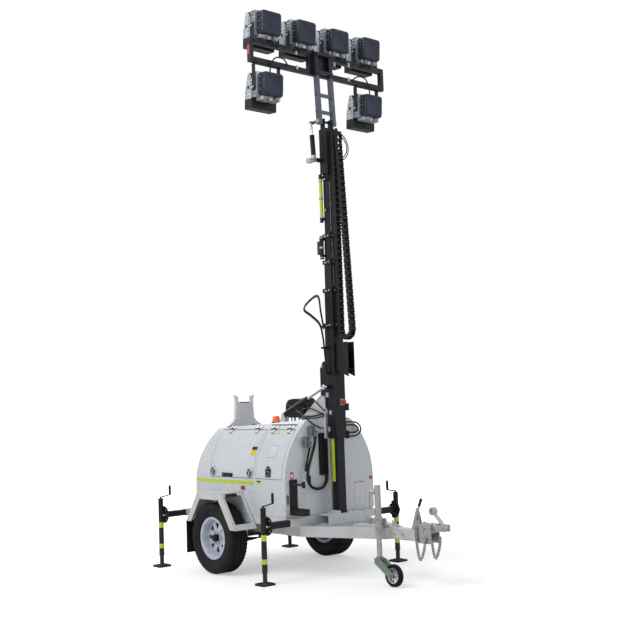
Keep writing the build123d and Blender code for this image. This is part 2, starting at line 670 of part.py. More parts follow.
ROOF_HOSES = [
    (6, [(140, 84.8, 1650), (160, 72, 1643), (400, 0, 1573), (885, -290, 1512), (896, -217, 1446),
         (897, -128, 1407), (897, -82.2, 1400)]),
    (6, [(392, 84.8, 1534), (400, 66, 1532), (470, 20, 1526), (575, -93, 1519), (660, -93, 1517),
         (760, -93, 1518), (850, -93, 1532), (900, -93, 1545), (905, -82.2, 1546)]),
    (6, [(388, 84.8, 1514), (400, 60, 1512), (450, 0, 1505), (540, -104, 1500), (744, -104, 1494),
         (850, -104, 1502), (900, -104, 1513), (905, -82.2, 1514)]),
    (6, [(430.2, 140, 1600), (470, 80, 1596), (540, -30, 1588), (620, -106, 1588), (740, -106, 1600),
         (892, -106, 1548), (916, -100, 1530), (920, -82.2, 1526)]),
    (6, [(800, -82.2, 1655), (812, -96, 1655), (881, -96, 1608), (918, -96, 1576), (924, -82.2, 1572)]),
]
hoses = []
for radius, route in FRONT_HOSES + ROOF_HOSES:
    tube = hose(route, radius)
    for carrier in (outer, support[0], humps, holder, sockets[0], sockets[1]):
        tube -= carrier
    hoses.append(tube)
save("short_hoses", [back_plate, gland_block, stub] + hoses)

# Outriggers
for end, leg_x in (("rear", LEG_REAR_X), ("front", LEG_FRONT_X)):
    for side, name in ((-1, "right"), (1, "left")):
        inner_y = LEG_Y - 560
        outer_y = LEG_Y - LEG_R - 24
        arm = box((leg_x - arm_half, leg_x + arm_half), (inner_y, outer_y),
                  (ARM_Z - arm_half, ARM_Z + arm_half))
        arm -= box((leg_x - arm_half + 4, leg_x + arm_half - 4), (inner_y - 1, outer_y - 8),
                   (ARM_Z - arm_half + 4, ARM_Z + arm_half - 4))
        arm += rod("Y", (leg_x, outer_y + 4, ARM_Z), 60, 8)
        arm += rod("Y", (leg_x, outer_y + 12, ARM_Z), 14, 24)
        disc_y = outer_y + 8 + RUN
        disc = rod("Y", (leg_x, disc_y + PLATE_T / 2, ARM_Z), SWIVEL_R, PLATE_T)
        disc -= box((leg_x - 200, leg_x - LEG_R), (0, 2000), (0, 2000))
        leg = rod("Z", (leg_x, LEG_Y, (LEG_TOP + LEG_BOTTOM) / 2), LEG_R, LEG_TOP - LEG_BOTTOM)
        leg += disc
        leg += box((leg_x - LEG_R, leg_x + LEG_R), (disc_y + PLATE_T, LEG_Y), (ARM_Z - 60, ARM_Z + 60))
        leg -= rod("Y", (leg_x, outer_y + 12, ARM_Z), 14 + RUN, 24.8 + RUN)
        leg -= rod("Z", (leg_x, LEG_Y, LEG_BOTTOM + 200), FOOT_R + 0.5, 420)
        grip_y = LEG_Y - CRANK_REACH
        leg += link((leg_x, LEG_Y, LEG_TOP - 5), (leg_x, LEG_Y, LEG_TOP + 22), 9)
        leg += link((leg_x, LEG_Y + 5, LEG_TOP + 14), (leg_x, grip_y, LEG_TOP + 34), 6)
        leg += link((leg_x, grip_y, LEG_TOP + 28), (leg_x, grip_y, LEG_TOP + 130), 10)
        foot = rod("Z", (leg_x, LEG_Y, 210), FOOT_R, 400)
        half = FOOT_PLATE / 2
        foot += box((leg_x - half, leg_x + half), (LEG_Y - half, LEG_Y + half), (0, PLATE_T))
        foot += Pos(leg_x, LEG_Y, PLATE_T) * Cone(34, FOOT_R, 22, align=(Align.CENTER, Align.CENTER, Align.MIN))
        for node, solid in (("arm", arm), ("leg", leg), ("foot", foot)):
            if side < 0:
                solid = mirror(solid, Plane.XZ)
            save(f"{node}_{end}_{name}", [solid])

# Jockey wheel
jockey = rod("Z", (JOCKEY_X, JOCKEY_Y, (JOCKEY_TOP + JOCKEY_BOTTOM) / 2), JOCKEY_R,
             JOCKEY_TOP - JOCKEY_BOTTOM)
jockey += rod("Z", (JOCKEY_X, JOCKEY_Y, JOCKEY_BOTTOM + 6), JOCKEY_R + 6, 12)
jockey += link((JOCKEY_X, JOCKEY_Y, 830), (JOCKEY_X - 75, JOCKEY_Y - 20, 830), 22)
jockey += link((JOCKEY_X - 75, JOCKEY_Y - 20, 830), (JOCKEY_X - 90, JOCKEY_Y - 24, 700), 6)
out = Vector(sin(slope), -cos(slope), 0)
pivot_at = Vector(JOCKEY_X, JOCKEY_Y, JOCKEY_PIVOT_Z)
trunnion_in = pivot_at - out * 44
jockey += link(tuple(pivot_at), tuple(trunnion_in), 24)
jockey -= rod("Z", (JOCKEY_X, JOCKEY_Y, 640), JOCKEY_INNER_R + 0.5, 400)
save("jockey_tube", [jockey])
inner_low = 250
stem = rod("Z", (JOCKEY_X, JOCKEY_Y, (inner_low + 720) / 2), JOCKEY_INNER_R, 720 - inner_low)
save("jockey_stem", [stem])
wheel_x = JOCKEY_X + JOCKEY_TRAIL
fork_y = JOCKEY_WHEEL_W / 2 + 3
fork = rod("Z", (JOCKEY_X, JOCKEY_Y, inner_low - RUN - 8), 34, 16)
fork += box((JOCKEY_X - 34, JOCKEY_X + 34), (JOCKEY_Y - fork_y - 6, JOCKEY_Y + fork_y + 6),
            (inner_low - RUN - 24, inner_low - RUN - 12))
for side in (-1, 1):
    y = sorted((JOCKEY_Y + side * fork_y, JOCKEY_Y + side * (fork_y + 6)))
    fork += plate_xz([(JOCKEY_X - 34, inner_low - 12), (JOCKEY_X + 34, inner_low - 12),
                      (wheel_x + 22, JOCKEY_WHEEL_R + 24), (wheel_x + 20, JOCKEY_WHEEL_R - 20),
                      (wheel_x - 30, JOCKEY_WHEEL_R - 22), (JOCKEY_X - 30, inner_low - 60)], y)
fork += rod("Y", (wheel_x, JOCKEY_Y, JOCKEY_WHEEL_R), 8, 2 * fork_y + 30)
save("jockey_fork", [fork])
tread = JOCKEY_WHEEL_W / 2 - 5
wheel = ring([(JOCKEY_WHEEL_R, -tread + 12), (JOCKEY_WHEEL_R, tread - 12), (JOCKEY_WHEEL_R - 10, tread),
              (JOCKEY_WHEEL_R - 28, tread), (JOCKEY_WHEEL_R - 30, 8), (26, 8), (20, tread + 5), (8 + RUN, tread + 5),
              (8 + RUN, -tread - 5), (20, -tread - 5), (26, -8), (JOCKEY_WHEEL_R - 30, -8),
              (JOCKEY_WHEEL_R - 28, -tread), (JOCKEY_WHEEL_R - 10, -tread)])
wheel = Pos(wheel_x, JOCKEY_Y, JOCKEY_WHEEL_R) * wheel
save("jockey_wheel", [wheel])

# Drawbar fittings: jockey clamp and coupling head
clamp_from = trunnion_in - out * RUN
clamp_to = clamp_from - out * 40
clamp = link(tuple(clamp_from), tuple(clamp_to), 28)
beside_beam = Pos(JOCKEY_X, JOCKEY_Y, 0) * Rot(0, 0, degrees(slope))
clamp += beside_beam * box((-45, 45), (60, 90), (FRAME_TOP, 585))
clamp += beside_beam * box((-45, 45), (60, 110), (FRAME_TOP, FRAME_TOP + 12))
head = box((DRAW_FRONT - 75, DRAW_FRONT + 120), (-58, -50), (frame_z[0] - 10, frame_z[1] + 60))
head += mirror(head, Plane.XZ)
head += box((DRAW_FRONT, DRAW_FRONT + 120), (-58, 58), (COUPLING_Z - 48, COUPLING_Z + 27))
head -= rod("X", (DRAW_FRONT + 60, 0, COUPLING_Z), 18 + RUN, 200)
head -= drawbar
lever_pivot = (DRAW_FRONT - 60, -30, 600)
head += box((DRAW_FRONT - 90, DRAW_FRONT - 30), (-36, -24), (frame_z[1], 625))
head -= drawbar
head += rod("Y", lever_pivot, 6, 40)
save("drawbar_fittings", [clamp, head])

# Swivelling coupling: shaft, yoke and flipped eye
nose_x = DRAW_FRONT + 120 + RUN
swivel = rod("X", ((DRAW_FRONT + 10 + nose_x + 60) / 2, 0, COUPLING_Z), 18, nose_x + 50 - DRAW_FRONT)
swivel += rod("X", (nose_x + 20, 0, COUPLING_Z), 36, 40)
for side in (-1, 1):
    y = sorted((side * 22, side * 34))
    swivel += box((nose_x + 30, COUPLING_REACH), y, (COUPLING_Z - 30, COUPLING_Z + 30))
yoke_x = COUPLING_REACH - 30
swivel += rod("Y", (yoke_x, 0, COUPLING_Z), 10, 84)
save("coupling_swivel", [swivel])
eye_at = (COUPLING_REACH - 165, 0, COUPLING_Z + 138)
yoke = rod("Y", (yoke_x, 0, COUPLING_Z), 26, 42)
yoke += link((yoke_x, 0, COUPLING_Z), eye_at, 17)
yoke += rod("Y", eye_at, 36, 40)
yoke -= rod("Y", (yoke_x, 0, COUPLING_Z), 10 + RUN, 60)
yoke -= rod("Y", eye_at, 18, 60)
save("coupling_eye", [yoke])

lever_tip = (DRAW_FRONT + 10, -46, 775)
lever = link((lever_pivot[0], -46, 600), lever_tip, 8)
lever += rod("Y", (lever_pivot[0], -44, 600), 14, 12)
lever += link((DRAW_FRONT - 22, -46, 706), lever_tip, 13)
lever -= rod("Y", lever_pivot, 6 + RUN, 60)
save("brake_lever", [lever])

# Safety chains
LINK_WIRE = 8
LINK_LONG = 40
LINK_WIDE = 27
LINK_STEP = LINK_LONG - 2 * LINK_WIRE + 1.5
half_long = LINK_LONG / 2
half_wide = LINK_WIDE / 2
corner_cut = 8
ring_out = [(half_long, half_wide - corner_cut), (half_long - corner_cut, half_wide),
            (-half_long + corner_cut, half_wide), (-half_long, half_wide - corner_cut)]
ring_in = [(half_long - LINK_WIRE, half_wide - LINK_WIRE - 2), (half_long - LINK_WIRE - 2, half_wide - LINK_WIRE),
           (-half_long + LINK_WIRE + 2, half_wide - LINK_WIRE),
           (-half_long + LINK_WIRE, half_wide - LINK_WIRE - 2)]


def chain_link(flat):
    """One link along X: an eight-sided ring of square wire, lying flat or standing on edge."""
    solid = plate_xy(ring_out + [(x, -y) for x, y in ring_out[::-1]], (-LINK_WIRE / 2, LINK_WIRE / 2))
    solid -= plate_xy(ring_in + [(x, -y) for x, y in ring_in[::-1]], (-LINK_WIRE, LINK_WIRE))
    return solid if flat else Rot(90, 0, 0) * solid


LINK_KINDS = (chain_link(True), chain_link(False))
CHAIN_Y = 58 + LINK_WIDE / 2 + 2
chains = []
for side, shift in ((-1, -48), (1, -3)):
    hook_x = DRAW_FRONT + shift
    chain_y = side * CHAIN_Y
    sag = Spline((hook_x, chain_y, 520), (hook_x + 18, chain_y, 330), (hook_x + 50, chain_y, 250),
                 (hook_x + 82, chain_y, 300), (hook_x + 104, chain_y, 430))
    count = round(sag.length / LINK_STEP)
    chain_solid = rod("Y", (hook_x, side * (58 + CHAIN_Y) / 2, 520), 6, CHAIN_Y - 58)
    chain_solid += rod("Y", (hook_x + 104, side * (58 + CHAIN_Y) / 2, 430), 6, CHAIN_Y - 58)
    for k in range(count + 1):
        share = k / count
        heading = sag % share
        place = Plane(origin=sag @ share, x_dir=heading, z_dir=Vector(0, 1, 0))
        chain_solid += place * LINK_KINDS[k % 2]
    chains.append(chain_solid)
save("safety_chains", chains)

# Mast base
half = BASE_SIDE / 2
mast_x = (MAST_X - half, MAST_X + half)
base = box(mast_x, (-half, half), (BASE_LOW, SECTION_TOPS[0] - COLLAR_H))
base += box((mast_x[0] - COLLAR_OUT, mast_x[1] + COLLAR_OUT), (-half - COLLAR_OUT, half + COLLAR_OUT),
            (SECTION_TOPS[0] - COLLAR_H, SECTION_TOPS[0]))
bore_half = half - BASE_WALL
base -= box((MAST_X - bore_half, MAST_X + bore_half), (-bore_half, bore_half),
            (BASE_LOW + 20, SECTION_TOPS[0] + 1))
tail_half = TAIL_SIDE / 2
tail = box((MAST_X - tail_half, MAST_X + tail_half), (-tail_half, tail_half), (SILL + 0.3, BASE_LOW + 5))
tail -= box((MAST_X - tail_half + 5, MAST_X + tail_half - 5), (-tail_half + 5, tail_half - 5),
            (SILL, BASE_LOW - 20))
base += tail
LUG_IN = CHEEK_IN - 14
lug = plate_xz([(mast_x[0] + 1, 1560), (mast_x[0] + 1, 2050), (PIVOT_X - 10, 2050), (PIVOT_X - 55, 1980),
                (PIVOT_X - 55, PIVOT_Z), (PIVOT_X - 30, PIVOT_Z - 40), (PIVOT_X + 10, PIVOT_Z - 45)],
               (LUG_IN - 10, LUG_IN))
lug -= rod("Y", (PIVOT_X, 0, PIVOT_Z), PIVOT_PIN_R + RUN, 400)
lug2 = mirror(lug, Plane.XZ)
base += lug
base += lug2
boss_end = TILT_PIN[1] + EYE_HALF + 2
boss_mid = (boss_end - half + 1) / 2
base += rod("Y", (TILT_PIN[0], boss_mid, TILT_PIN[2]), 20, -half + 1 - boss_end)
chain_tray = plate_xz([(mast_x[1] - 1, 1960), (1245, 1890), (1245, 2225), (mast_x[1] - 1, 2225)], (-42, -38))
tray_other = mirror(chain_tray, Plane.XZ)
base += chain_tray
base += tray_other
base += box((mast_x[1] - 1, 1245), (-42, 42), (1960, 1964))
save("mast_base", [base])

# Telescoping sections, each inside the one before
outer_side = BASE_SIDE - 2 * BASE_WALL
sections = {}
for k, top in enumerate(SECTION_TOPS[1:], start=2):
    outer_side -= 2 * SECTION_FIT
    half = outer_side / 2
    foot_z = SECTION_FOOT + (k - 2) * SECTION_STEP
    body = box((MAST_X - half, MAST_X + half), (-half, half), (foot_z, top))
    head_half = half + COLLAR_OUT
    if k < 5:
        body += box((MAST_X - head_half, MAST_X + head_half), (-head_half, head_half), (top - COLLAR_H, top))
    pad_half = half + SECTION_FIT - PAD_FIT
    body += box((MAST_X - pad_half, MAST_X + pad_half), (-pad_half, pad_half), (foot_z, foot_z + PAD_H))
    inner_half = half - SECTION_WALL
    if k == 3:
        body += box((MAST_X + half, CHAIN_IN), (-28, 28), (top - COLLAR_H, top))
    body -= box((MAST_X - inner_half, MAST_X + inner_half), (-inner_half, inner_half), (foot_z - 1, top + 1))
    sections[k] = body
    outer_side -= 2 * SECTION_WALL
top_half = 55
sections[5] += box((MAST_X - top_half, MAST_X + top_half), (-top_half, top_half),
                   (SECTION_TOPS[4] - 60, TOP_BLOCK_Z))
for side in (-1, 1):
    y = sorted((side * 43, side * 55))
    sections[5] += box((MAST_X - 30, MAST_X + 30), y, (TOP_BLOCK_Z - 10, HEAD_PIVOT_Z + 30))
sections[5] += rod("Y", (MAST_X, 0, HEAD_PIVOT_Z), 12, 2 * POST_Y + 60)
ACT_PIN = (MAST_X - 60, -128, 4040)
sections[5] += box((MAST_X - 75, MAST_X - 40), (-101, -40), (4025, 4060))
sections[5] += rod("Y", (ACT_PIN[0], -125, ACT_PIN[2]), 8, 60)
SIDE_TUBE = (948, -52)
sections[5] += rod("Z", (*SIDE_TUBE, 3660), 18, 480)
for z in (3450, 3870):
    sections[5] += box((SIDE_TUBE[0] - 8, MAST_X - 30), (SIDE_TUBE[1] - 6, -30), (z - 12, z + 12))
GAS_TUBE = (943, -60)
sections[4] += rod("Z", (*GAS_TUBE, 3170), 20, 230)
for z in (3090, 3250):
    sections[4] += box((GAS_TUBE[0] - 3, MAST_X - 40), (GAS_TUBE[1] - 4, -38), (z - 10, z + 10))
    sections[4] += rod("Z", (*GAS_TUBE, z), 23, 26)
TOP_LEADS = [
    (5, [(1020, 54, 4345), (1022, 130, 4352), (1028, 225, 4300), (1032, 268, 4200), (1030, 245, 4100),
         (1026, 150, 4040), (1020, 54, 4025)]),
    (5, [(1020, 54, 4325), (1022, 125, 4328), (1028, 208, 4283), (1032, 249, 4200), (1030, 226, 4112),
         (1026, 140, 4064), (1020, 54, 4049)]),
    (8, [(1046, 54, 4330), (1048, 130, 4342), (1050, 165, 4290), (1050, 140, 4215), (1046, 54, 4180)]),
]
top_leads = [hose(route, radius) - sections[5] for radius, route in TOP_LEADS]
for k, body in sections.items():
    save(f"mast_{k}", [body] + (top_leads if k == 5 else []))

# Energy chain
loop_z = 2345
LOOP_R = 80
LINK = 60
LINK_HALF = 22
inner_x = CHAIN_IN + LINK_HALF
chain_top = 4340
lean = (1168 - inner_x - 2 * LOOP_R) / (chain_top - loop_z)
edge = {-1: [], 1: []}


def chain_point(s):
    """The middle of the chain at a distance along it: down, round the loop and up."""
    run = chain_top - loop_z
    if s <= run:
        return Vector(inner_x, 0, chain_top - s), Vector(1, 0, 0)
    turn_length = LOOP_R * 3.14159265
    if s <= run + turn_length:
        angle = (s - run) / LOOP_R
        way = Vector(-cos(angle), 0, -sin(angle))
        return Vector(inner_x + LOOP_R, 0, loop_z) + way * LOOP_R, -way
    rise = s - run - turn_length
    return Vector(inner_x + 2 * LOOP_R + lean * rise, 0, loop_z + rise), Vector(-1, 0, 0)


links = 70
for k in range(links):
    for share, depth in ((0.05, LINK_HALF), (0.95, LINK_HALF), (0.95, LINK_HALF - 6), (1.05, LINK_HALF - 6)):
        middle, way = chain_point((k + share) * LINK)
        for side in (-1, 1):
            spot = middle + way * side * depth
            edge[side].append((spot.X, spot.Z))
chain = plate_xz(edge[1] + edge[-1][::-1], (-30, 30))
save("energy_chain", [chain])

# Tilt cylinder: barrel on the roof, rod to the boss on the mast
BARREL_R = 28
BARREL_FROM = 34
BARREL_TO = 400
ROD_R = 15
tilt_foot = Vector(*TILT_FOOT)
tilt_pin = Vector(*TILT_PIN)
tilt_way = (tilt_pin - tilt_foot).normalized()


def along(start, way, distance):
    return tuple(start + way * distance)


barrel = link(along(tilt_foot, tilt_way, BARREL_FROM), along(tilt_foot, tilt_way, BARREL_TO), BARREL_R)
barrel -= link(along(tilt_foot, tilt_way, 60), along(tilt_foot, tilt_way, BARREL_TO + 1), ROD_R + 1)
barrel += link(TILT_FOOT, along(tilt_foot, tilt_way, BARREL_FROM + 2), 12)
barrel += rod("Y", TILT_FOOT, 22, 2 * EYE_HALF)
barrel -= rod("Y", TILT_FOOT, 10 + RUN, 60)
save("tilt_barrel", [barrel])
piston = link(along(tilt_foot, tilt_way, 300), along(tilt_pin, tilt_way, -12), ROD_R)
piston += rod("Y", TILT_PIN, 24, 2 * EYE_HALF)
piston += rod("Y", (TILT_PIN[0], TILT_PIN[1] - EYE_HALF - 4, TILT_PIN[2]), 12, 10)
save("tilt_rod", [piston])

# Head frame
head_parts = None
for side in (-1, 1):
    y = sorted((side * (POST_Y - POST_SIDE / 2), side * (POST_Y + POST_SIDE / 2)))
    post_solid = plate_xz([(MAST_X - 25, HEAD_PIVOT_Z - 28), (MAST_X + 25, HEAD_PIVOT_Z - 28),
                           (MAST_X + 20, HEAD_PIVOT_Z + 60), (BAR_X + 70, UPPER_BAR_Z + 20),
                           (BAR_X + 25, UPPER_BAR_Z + 20), (MAST_X - 25, HEAD_PIVOT_Z + 60)], y)
    head_parts = post_solid if head_parts is None else head_parts + post_solid
for z in (4520, 4690):
    head_parts += box((MAST_X - 25, MAST_X + 5), (-POST_Y, POST_Y), (z - 15, z + 15))
bar_half = BAR_SIDE / 2
for z in (UPPER_BAR_Z, LOWER_BAR_Z):
    head_parts += box((BAR_X - bar_half, BAR_X + bar_half), (-BAR_HALF, BAR_HALF), (z - bar_half, z + bar_half))
for side in (-1, 1):
    y = sorted((side * (BAR_HALF - 40), side * BAR_HALF))
    head_parts += box((BAR_X - bar_half, BAR_X + bar_half), y, (LOWER_BAR_Z, UPPER_BAR_Z))
head_parts += box((BAR_X - bar_half, BAR_X + bar_half), (-150, 150), (LOWER_BAR_Z, UPPER_BAR_Z))
for z in (UPPER_BAR_Z, LOWER_BAR_Z):
    head_parts += box((BAR_X + bar_half, MAST_X + 5), (-POST_Y - 21, POST_Y + 21), (z - 15, z + 15))
head_parts -= rod("Y", (MAST_X, 0, HEAD_PIVOT_Z), 12 + RUN, 400)
ACT_Y = -128
ACT_EYE = (MAST_X - 85, ACT_Y, HEAD_PIVOT_Z)
head_parts += box((ACT_EYE[0] - 14, MAST_X), (-111, -99), (HEAD_PIVOT_Z - 14, HEAD_PIVOT_Z + 14))
head_parts -= rod("Y", (MAST_X, 0, HEAD_PIVOT_Z), 12 + RUN, 400)
save("head_frame", [head_parts])

# Head actuator
ACT_FOOT = (MAST_X - 60, ACT_Y, 4040)
act_way = (Vector(*ACT_EYE) - Vector(*ACT_FOOT)).normalized()
act_body = link(tuple(Vector(*ACT_FOOT) + act_way * 10), tuple(Vector(*ACT_FOOT) + act_way * 250), 24)
act_body += box((MAST_X - 150, MAST_X - 40), (ACT_Y - 22, ACT_Y + 22), (4022, 4065))
act_body -= link(tuple(Vector(*ACT_FOOT) + act_way * 80), tuple(Vector(*ACT_FOOT) + act_way * 251), 12.4)
act_body -= rod("Y", ACT_FOOT, 8 + RUN, 200)
save("head_actuator_body", [act_body])
act_rod = link(tuple(Vector(*ACT_FOOT) + act_way * 120), tuple(Vector(*ACT_EYE) - act_way * 10), 12)
act_rod += rod("Y", ACT_EYE, 16, 28)
act_rod += rod("Y", (ACT_EYE[0], ACT_Y - 17, HEAD_PIVOT_Z), 9, 10)
save("head_actuator_rod", [act_rod])

# Lamps: moulded cover, finned silver housing, and black hood on a yoke
COVER_W = 235
COVER_H = 228
HOUSING_W = 290
PLATE_Y = 150
covers = []
housings = []
hoods = []


def lamp(y, z, hung):
    """A floodlight that looks down and to the rear: its cover, its housing, and its hood and yoke."""
    place = Pos(LAMP_X, y, z) * Rot(0, LAMP_PITCH, 0)
    cover = plate_xz([(30, -COVER_H / 2), (100, -COVER_H / 2), (112, -COVER_H / 2 + 16),
                      (118, COVER_H / 2 - 50), (96, COVER_H / 2), (30, COVER_H / 2)], (-COVER_W / 2, COVER_W / 2))
    for side in (-1, 1):
        for end in (-1, 1):
            corner = Pos(70, side * COVER_W / 2, end * COVER_H / 2) * Rot(45, 0, 0) * Box(120, 40, 40)
            cover -= corner
    housing = box((-40, 30), (-HOUSING_W / 2, HOUSING_W / 2), (-120, 118))
    for k in range(7):
        fin_z = -100 + 33 * k
        housing -= box((-41, 20), (-HOUSING_W / 2 - 1, -HOUSING_W / 2 + 22), (fin_z, fin_z + 16))
        housing -= box((-41, 20), (HOUSING_W / 2 - 22, HOUSING_W / 2 + 1), (fin_z, fin_z + 16))
    housing += box((-30, 70), (-105, 105), (-150, -COVER_H / 2 - 2))
    hood = plate_xz([(-150, -225), (-40, -225), (-40, 60), (-70, 118), (-110, 118), (-150, -60)],
                    (-LAMP_W / 2 + 10, LAMP_W / 2 - 10))
    hood -= box((-151, -138), (-LAMP_W / 2 + 20, LAMP_W / 2 - 20), (-215, -70))
    hood += rod("Y", (-5, 0, -30), 7, 2 * PLATE_Y + 16) - box((-40, 30), (-HOUSING_W / 2, HOUSING_W / 2), (-60, 0))
    hood = place * hood
    base_z = LOWER_BAR_Z - bar_half if hung else UPPER_BAR_Z + bar_half
    foot_z = (base_z - 5, base_z) if hung else (base_z, base_z + 5)
    yoke_x = (LAMP_X - 30, LAMP_X + 20)
    for side in (-1, 1):
        sides = sorted((y + side * PLATE_Y, y + side * (PLATE_Y + 5)))
        reach = (z - 60, base_z) if hung else (base_z, z)
        hood += box(yoke_x, sides, reach)
    hood += box((BAR_X - 25, BAR_X + 20), (y - PLATE_Y - 5, y + PLATE_Y + 5), foot_z)
    return place * cover, place * housing, hood


for y in LAMP_Y:
    parts = lamp(y, LAMP_TOP_Z, False)
    covers.append(parts[0])
    housings.append(parts[1])
    hoods.append(parts[2])
for y in (LAMP_Y[0], LAMP_Y[3]):
    parts = lamp(y, LAMP_LOW_Z, True)
    covers.append(parts[0])
    housings.append(parts[1])
    hoods.append(parts[2])
LEADS = [[(948, 0, 5149), (974, 20, 5122), (974, 90, 5108), (950, 125, 5108)],
         [(962, 0, 4814.5), (966, 10, 4900), (972, 60, 4985), (972, 170, 4990), (950, 235, 4938)]]
for route, y, way in ((0, -660, 1), (0, -220, -1), (0, 220, 1), (0, 660, -1), (1, -660, 1), (1, 660, -1)):
    lead = hose([(x, y + way * reach, z) for x, reach, z in LEADS[route]], 7)
    for carrier in [head_parts] + housings:
        lead -= carrier
    hoods.append(lead)
save("lamp_covers", covers)
save("lamp_housings", housings)
save("lamp_hoods", hoods)
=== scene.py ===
# %% [markdown]
# # A mobile light tower
# This lesson dresses the solids of a towed light tower: a white generator canopy on a trailer
# with one axle, four black legs and a black telescopic mast with floodlights. The solids come
# from the CAD model and keep their places, so every new piece is measured from them.

# %% Load the frame
from math import asin, cos, pi, radians, sin, sqrt

import bmesh
import bpy
from mathutils import Matrix, Vector


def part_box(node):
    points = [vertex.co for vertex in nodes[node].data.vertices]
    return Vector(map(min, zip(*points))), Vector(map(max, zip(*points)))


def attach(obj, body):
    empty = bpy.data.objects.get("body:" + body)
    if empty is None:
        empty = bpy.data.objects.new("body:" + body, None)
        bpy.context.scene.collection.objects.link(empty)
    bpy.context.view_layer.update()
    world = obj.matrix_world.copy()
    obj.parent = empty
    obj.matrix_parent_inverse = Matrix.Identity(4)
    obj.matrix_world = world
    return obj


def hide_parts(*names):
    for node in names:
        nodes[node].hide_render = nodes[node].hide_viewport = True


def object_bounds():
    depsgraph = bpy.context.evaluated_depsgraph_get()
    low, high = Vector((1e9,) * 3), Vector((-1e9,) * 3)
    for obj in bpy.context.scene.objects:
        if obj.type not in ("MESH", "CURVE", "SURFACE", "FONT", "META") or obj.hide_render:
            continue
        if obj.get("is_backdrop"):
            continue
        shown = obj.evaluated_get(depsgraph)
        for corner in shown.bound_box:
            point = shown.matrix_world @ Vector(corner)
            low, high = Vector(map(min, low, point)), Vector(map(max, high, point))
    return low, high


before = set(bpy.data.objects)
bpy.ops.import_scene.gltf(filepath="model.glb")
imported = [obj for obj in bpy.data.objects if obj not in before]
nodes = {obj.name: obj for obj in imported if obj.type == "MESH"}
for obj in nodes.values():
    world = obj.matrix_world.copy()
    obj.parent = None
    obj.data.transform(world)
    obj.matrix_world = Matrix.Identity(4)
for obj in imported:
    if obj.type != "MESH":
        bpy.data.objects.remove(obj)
cad_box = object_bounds()
print("pieces from the model:", len(nodes))

# %% [markdown]
# The model measures X from the middle of the whole length. Most of a trailer is easier to place
# from its axle, so the axle's X is read from the wheel and a helper turns one into the other.

# %% Places measured from the axle
wheel_low, wheel_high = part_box("rim_right")
AXLE_X = (wheel_low[0] + wheel_high[0]) / 2


def at(x, y, z):
    """A point given from the ground below the middle of the axle."""
    return Vector((x + AXLE_X, y, z))


print("axle at X", round(AXLE_X, 4))

# %% [markdown]
# The camera stands where the photographer stood: ahead of the trailer and to its right, at eye
# height. Three directions fix its turn exactly, which three guessed angles would not.

# %% Camera
LENS_MM = 58.67
SENSOR_MM = 36
CAMERA_PLACE = at(8.629, -6.774, 1.700)
camera_right = Vector((0.6525, 0.7573, -0.0349)).normalized()
camera_up = Vector((0.0788, -0.0219, 0.9967)).normalized()
camera_back = camera_right.cross(camera_up)
turn = Matrix((camera_right, camera_up, camera_back)).transposed().to_4x4()
lens = bpy.data.cameras.new("photo_lens")
lens.lens = LENS_MM
lens.sensor_width = SENSOR_MM
camera = bpy.data.objects.new("photo_camera", lens)
camera.matrix_world = Matrix.Translation(CAMERA_PLACE) @ turn
bpy.context.collection.objects.link(camera)
bpy.context.scene.camera = camera
print("camera at", [round(v, 3) for v in camera.location])

# %% [markdown]
# One small function adds a shader node. A socket takes a plain value or another node's output,
# so a whole recipe reads as one node a line.

# %% Add a node


def add_node(tree, kind, sockets=None, **settings):
    """Adds a shader node. Settings fill the node, and sockets take a value or an output."""
    node = tree.nodes.new(kind)
    for name, value in settings.items():
        setattr(node, name, value)
    for name, value in (sockets or {}).items():
        if isinstance(value, bpy.types.NodeSocket):
            tree.links.new(value, node.inputs[name])
        else:
            node.inputs[name].default_value = value
    return node


def remap(tree, value, from_low, from_high, to_low, to_high):
    """Stretches one range of values onto another."""
    return add_node(tree, "ShaderNodeMapRange", {
        "Value": value, "From Min": from_low, "From Max": from_high, "To Min": to_low,
        "To Max": to_high}).outputs[0]


def calculate(tree, operation, first, second):
    """One step of arithmetic on two values."""
    return add_node(tree, "ShaderNodeMath", {0: first, 1: second}, operation=operation).outputs[0]


def noise(tree, place, size_mm, detail):
    """A noise whose features are about so many millimetres across."""
    return add_node(tree, "ShaderNodeTexNoise", {
        "Vector": place, "Scale": 1000 / size_mm, "Detail": detail}).outputs["Fac"]


def give_relief(tree, shader, height, depth_mm, strength=1.0):
    """Gives a shader a relief of a depth in millimetres."""
    relief = add_node(tree, "ShaderNodeBump", {"Strength": strength, "Distance": depth_mm / 1000,
                                               "Height": height})
    tree.links.new(relief.outputs[0], shader.inputs["Normal"])


def new_material(name):
    """A new material, its tree, its shader and the coordinates that stay on the metal."""
    material = bpy.data.materials.new(name)
    material.use_nodes = True
    tree = material.node_tree
    place = add_node(tree, "ShaderNodeTexCoord").outputs["Object"]
    return material, tree, tree.nodes["Principled BSDF"], place


def hex_colour(code):
    """A colour written as #RRGGBB, turned from sRGB into the linear values that shaders use."""
    values = []
    for start in (1, 3, 5):
        share = int(code[start:start + 2], 16) / 255
        values.append(share / 12.92 if share <= 0.04045 else ((share + 0.055) / 1.055) ** 2.4)
    return (*values, 1.0)


print("mid grey as linear values:", [round(value, 3) for value in hex_colour("#808080")])

# %% [markdown]
# A studio for a white machine needs a level light, or its pale panels clip. The world gives most
# of it. One large lamp ahead and above shapes the canopy's curve, and weaker ones keep the front
# and the rear readable. Rays that go straight to the camera, or that a shiny surface sends out,
# see plain white.

# %% World and lamps
scene = bpy.context.scene
scene.view_settings.view_transform = "Standard"
SKY_STRENGTH = 0.44

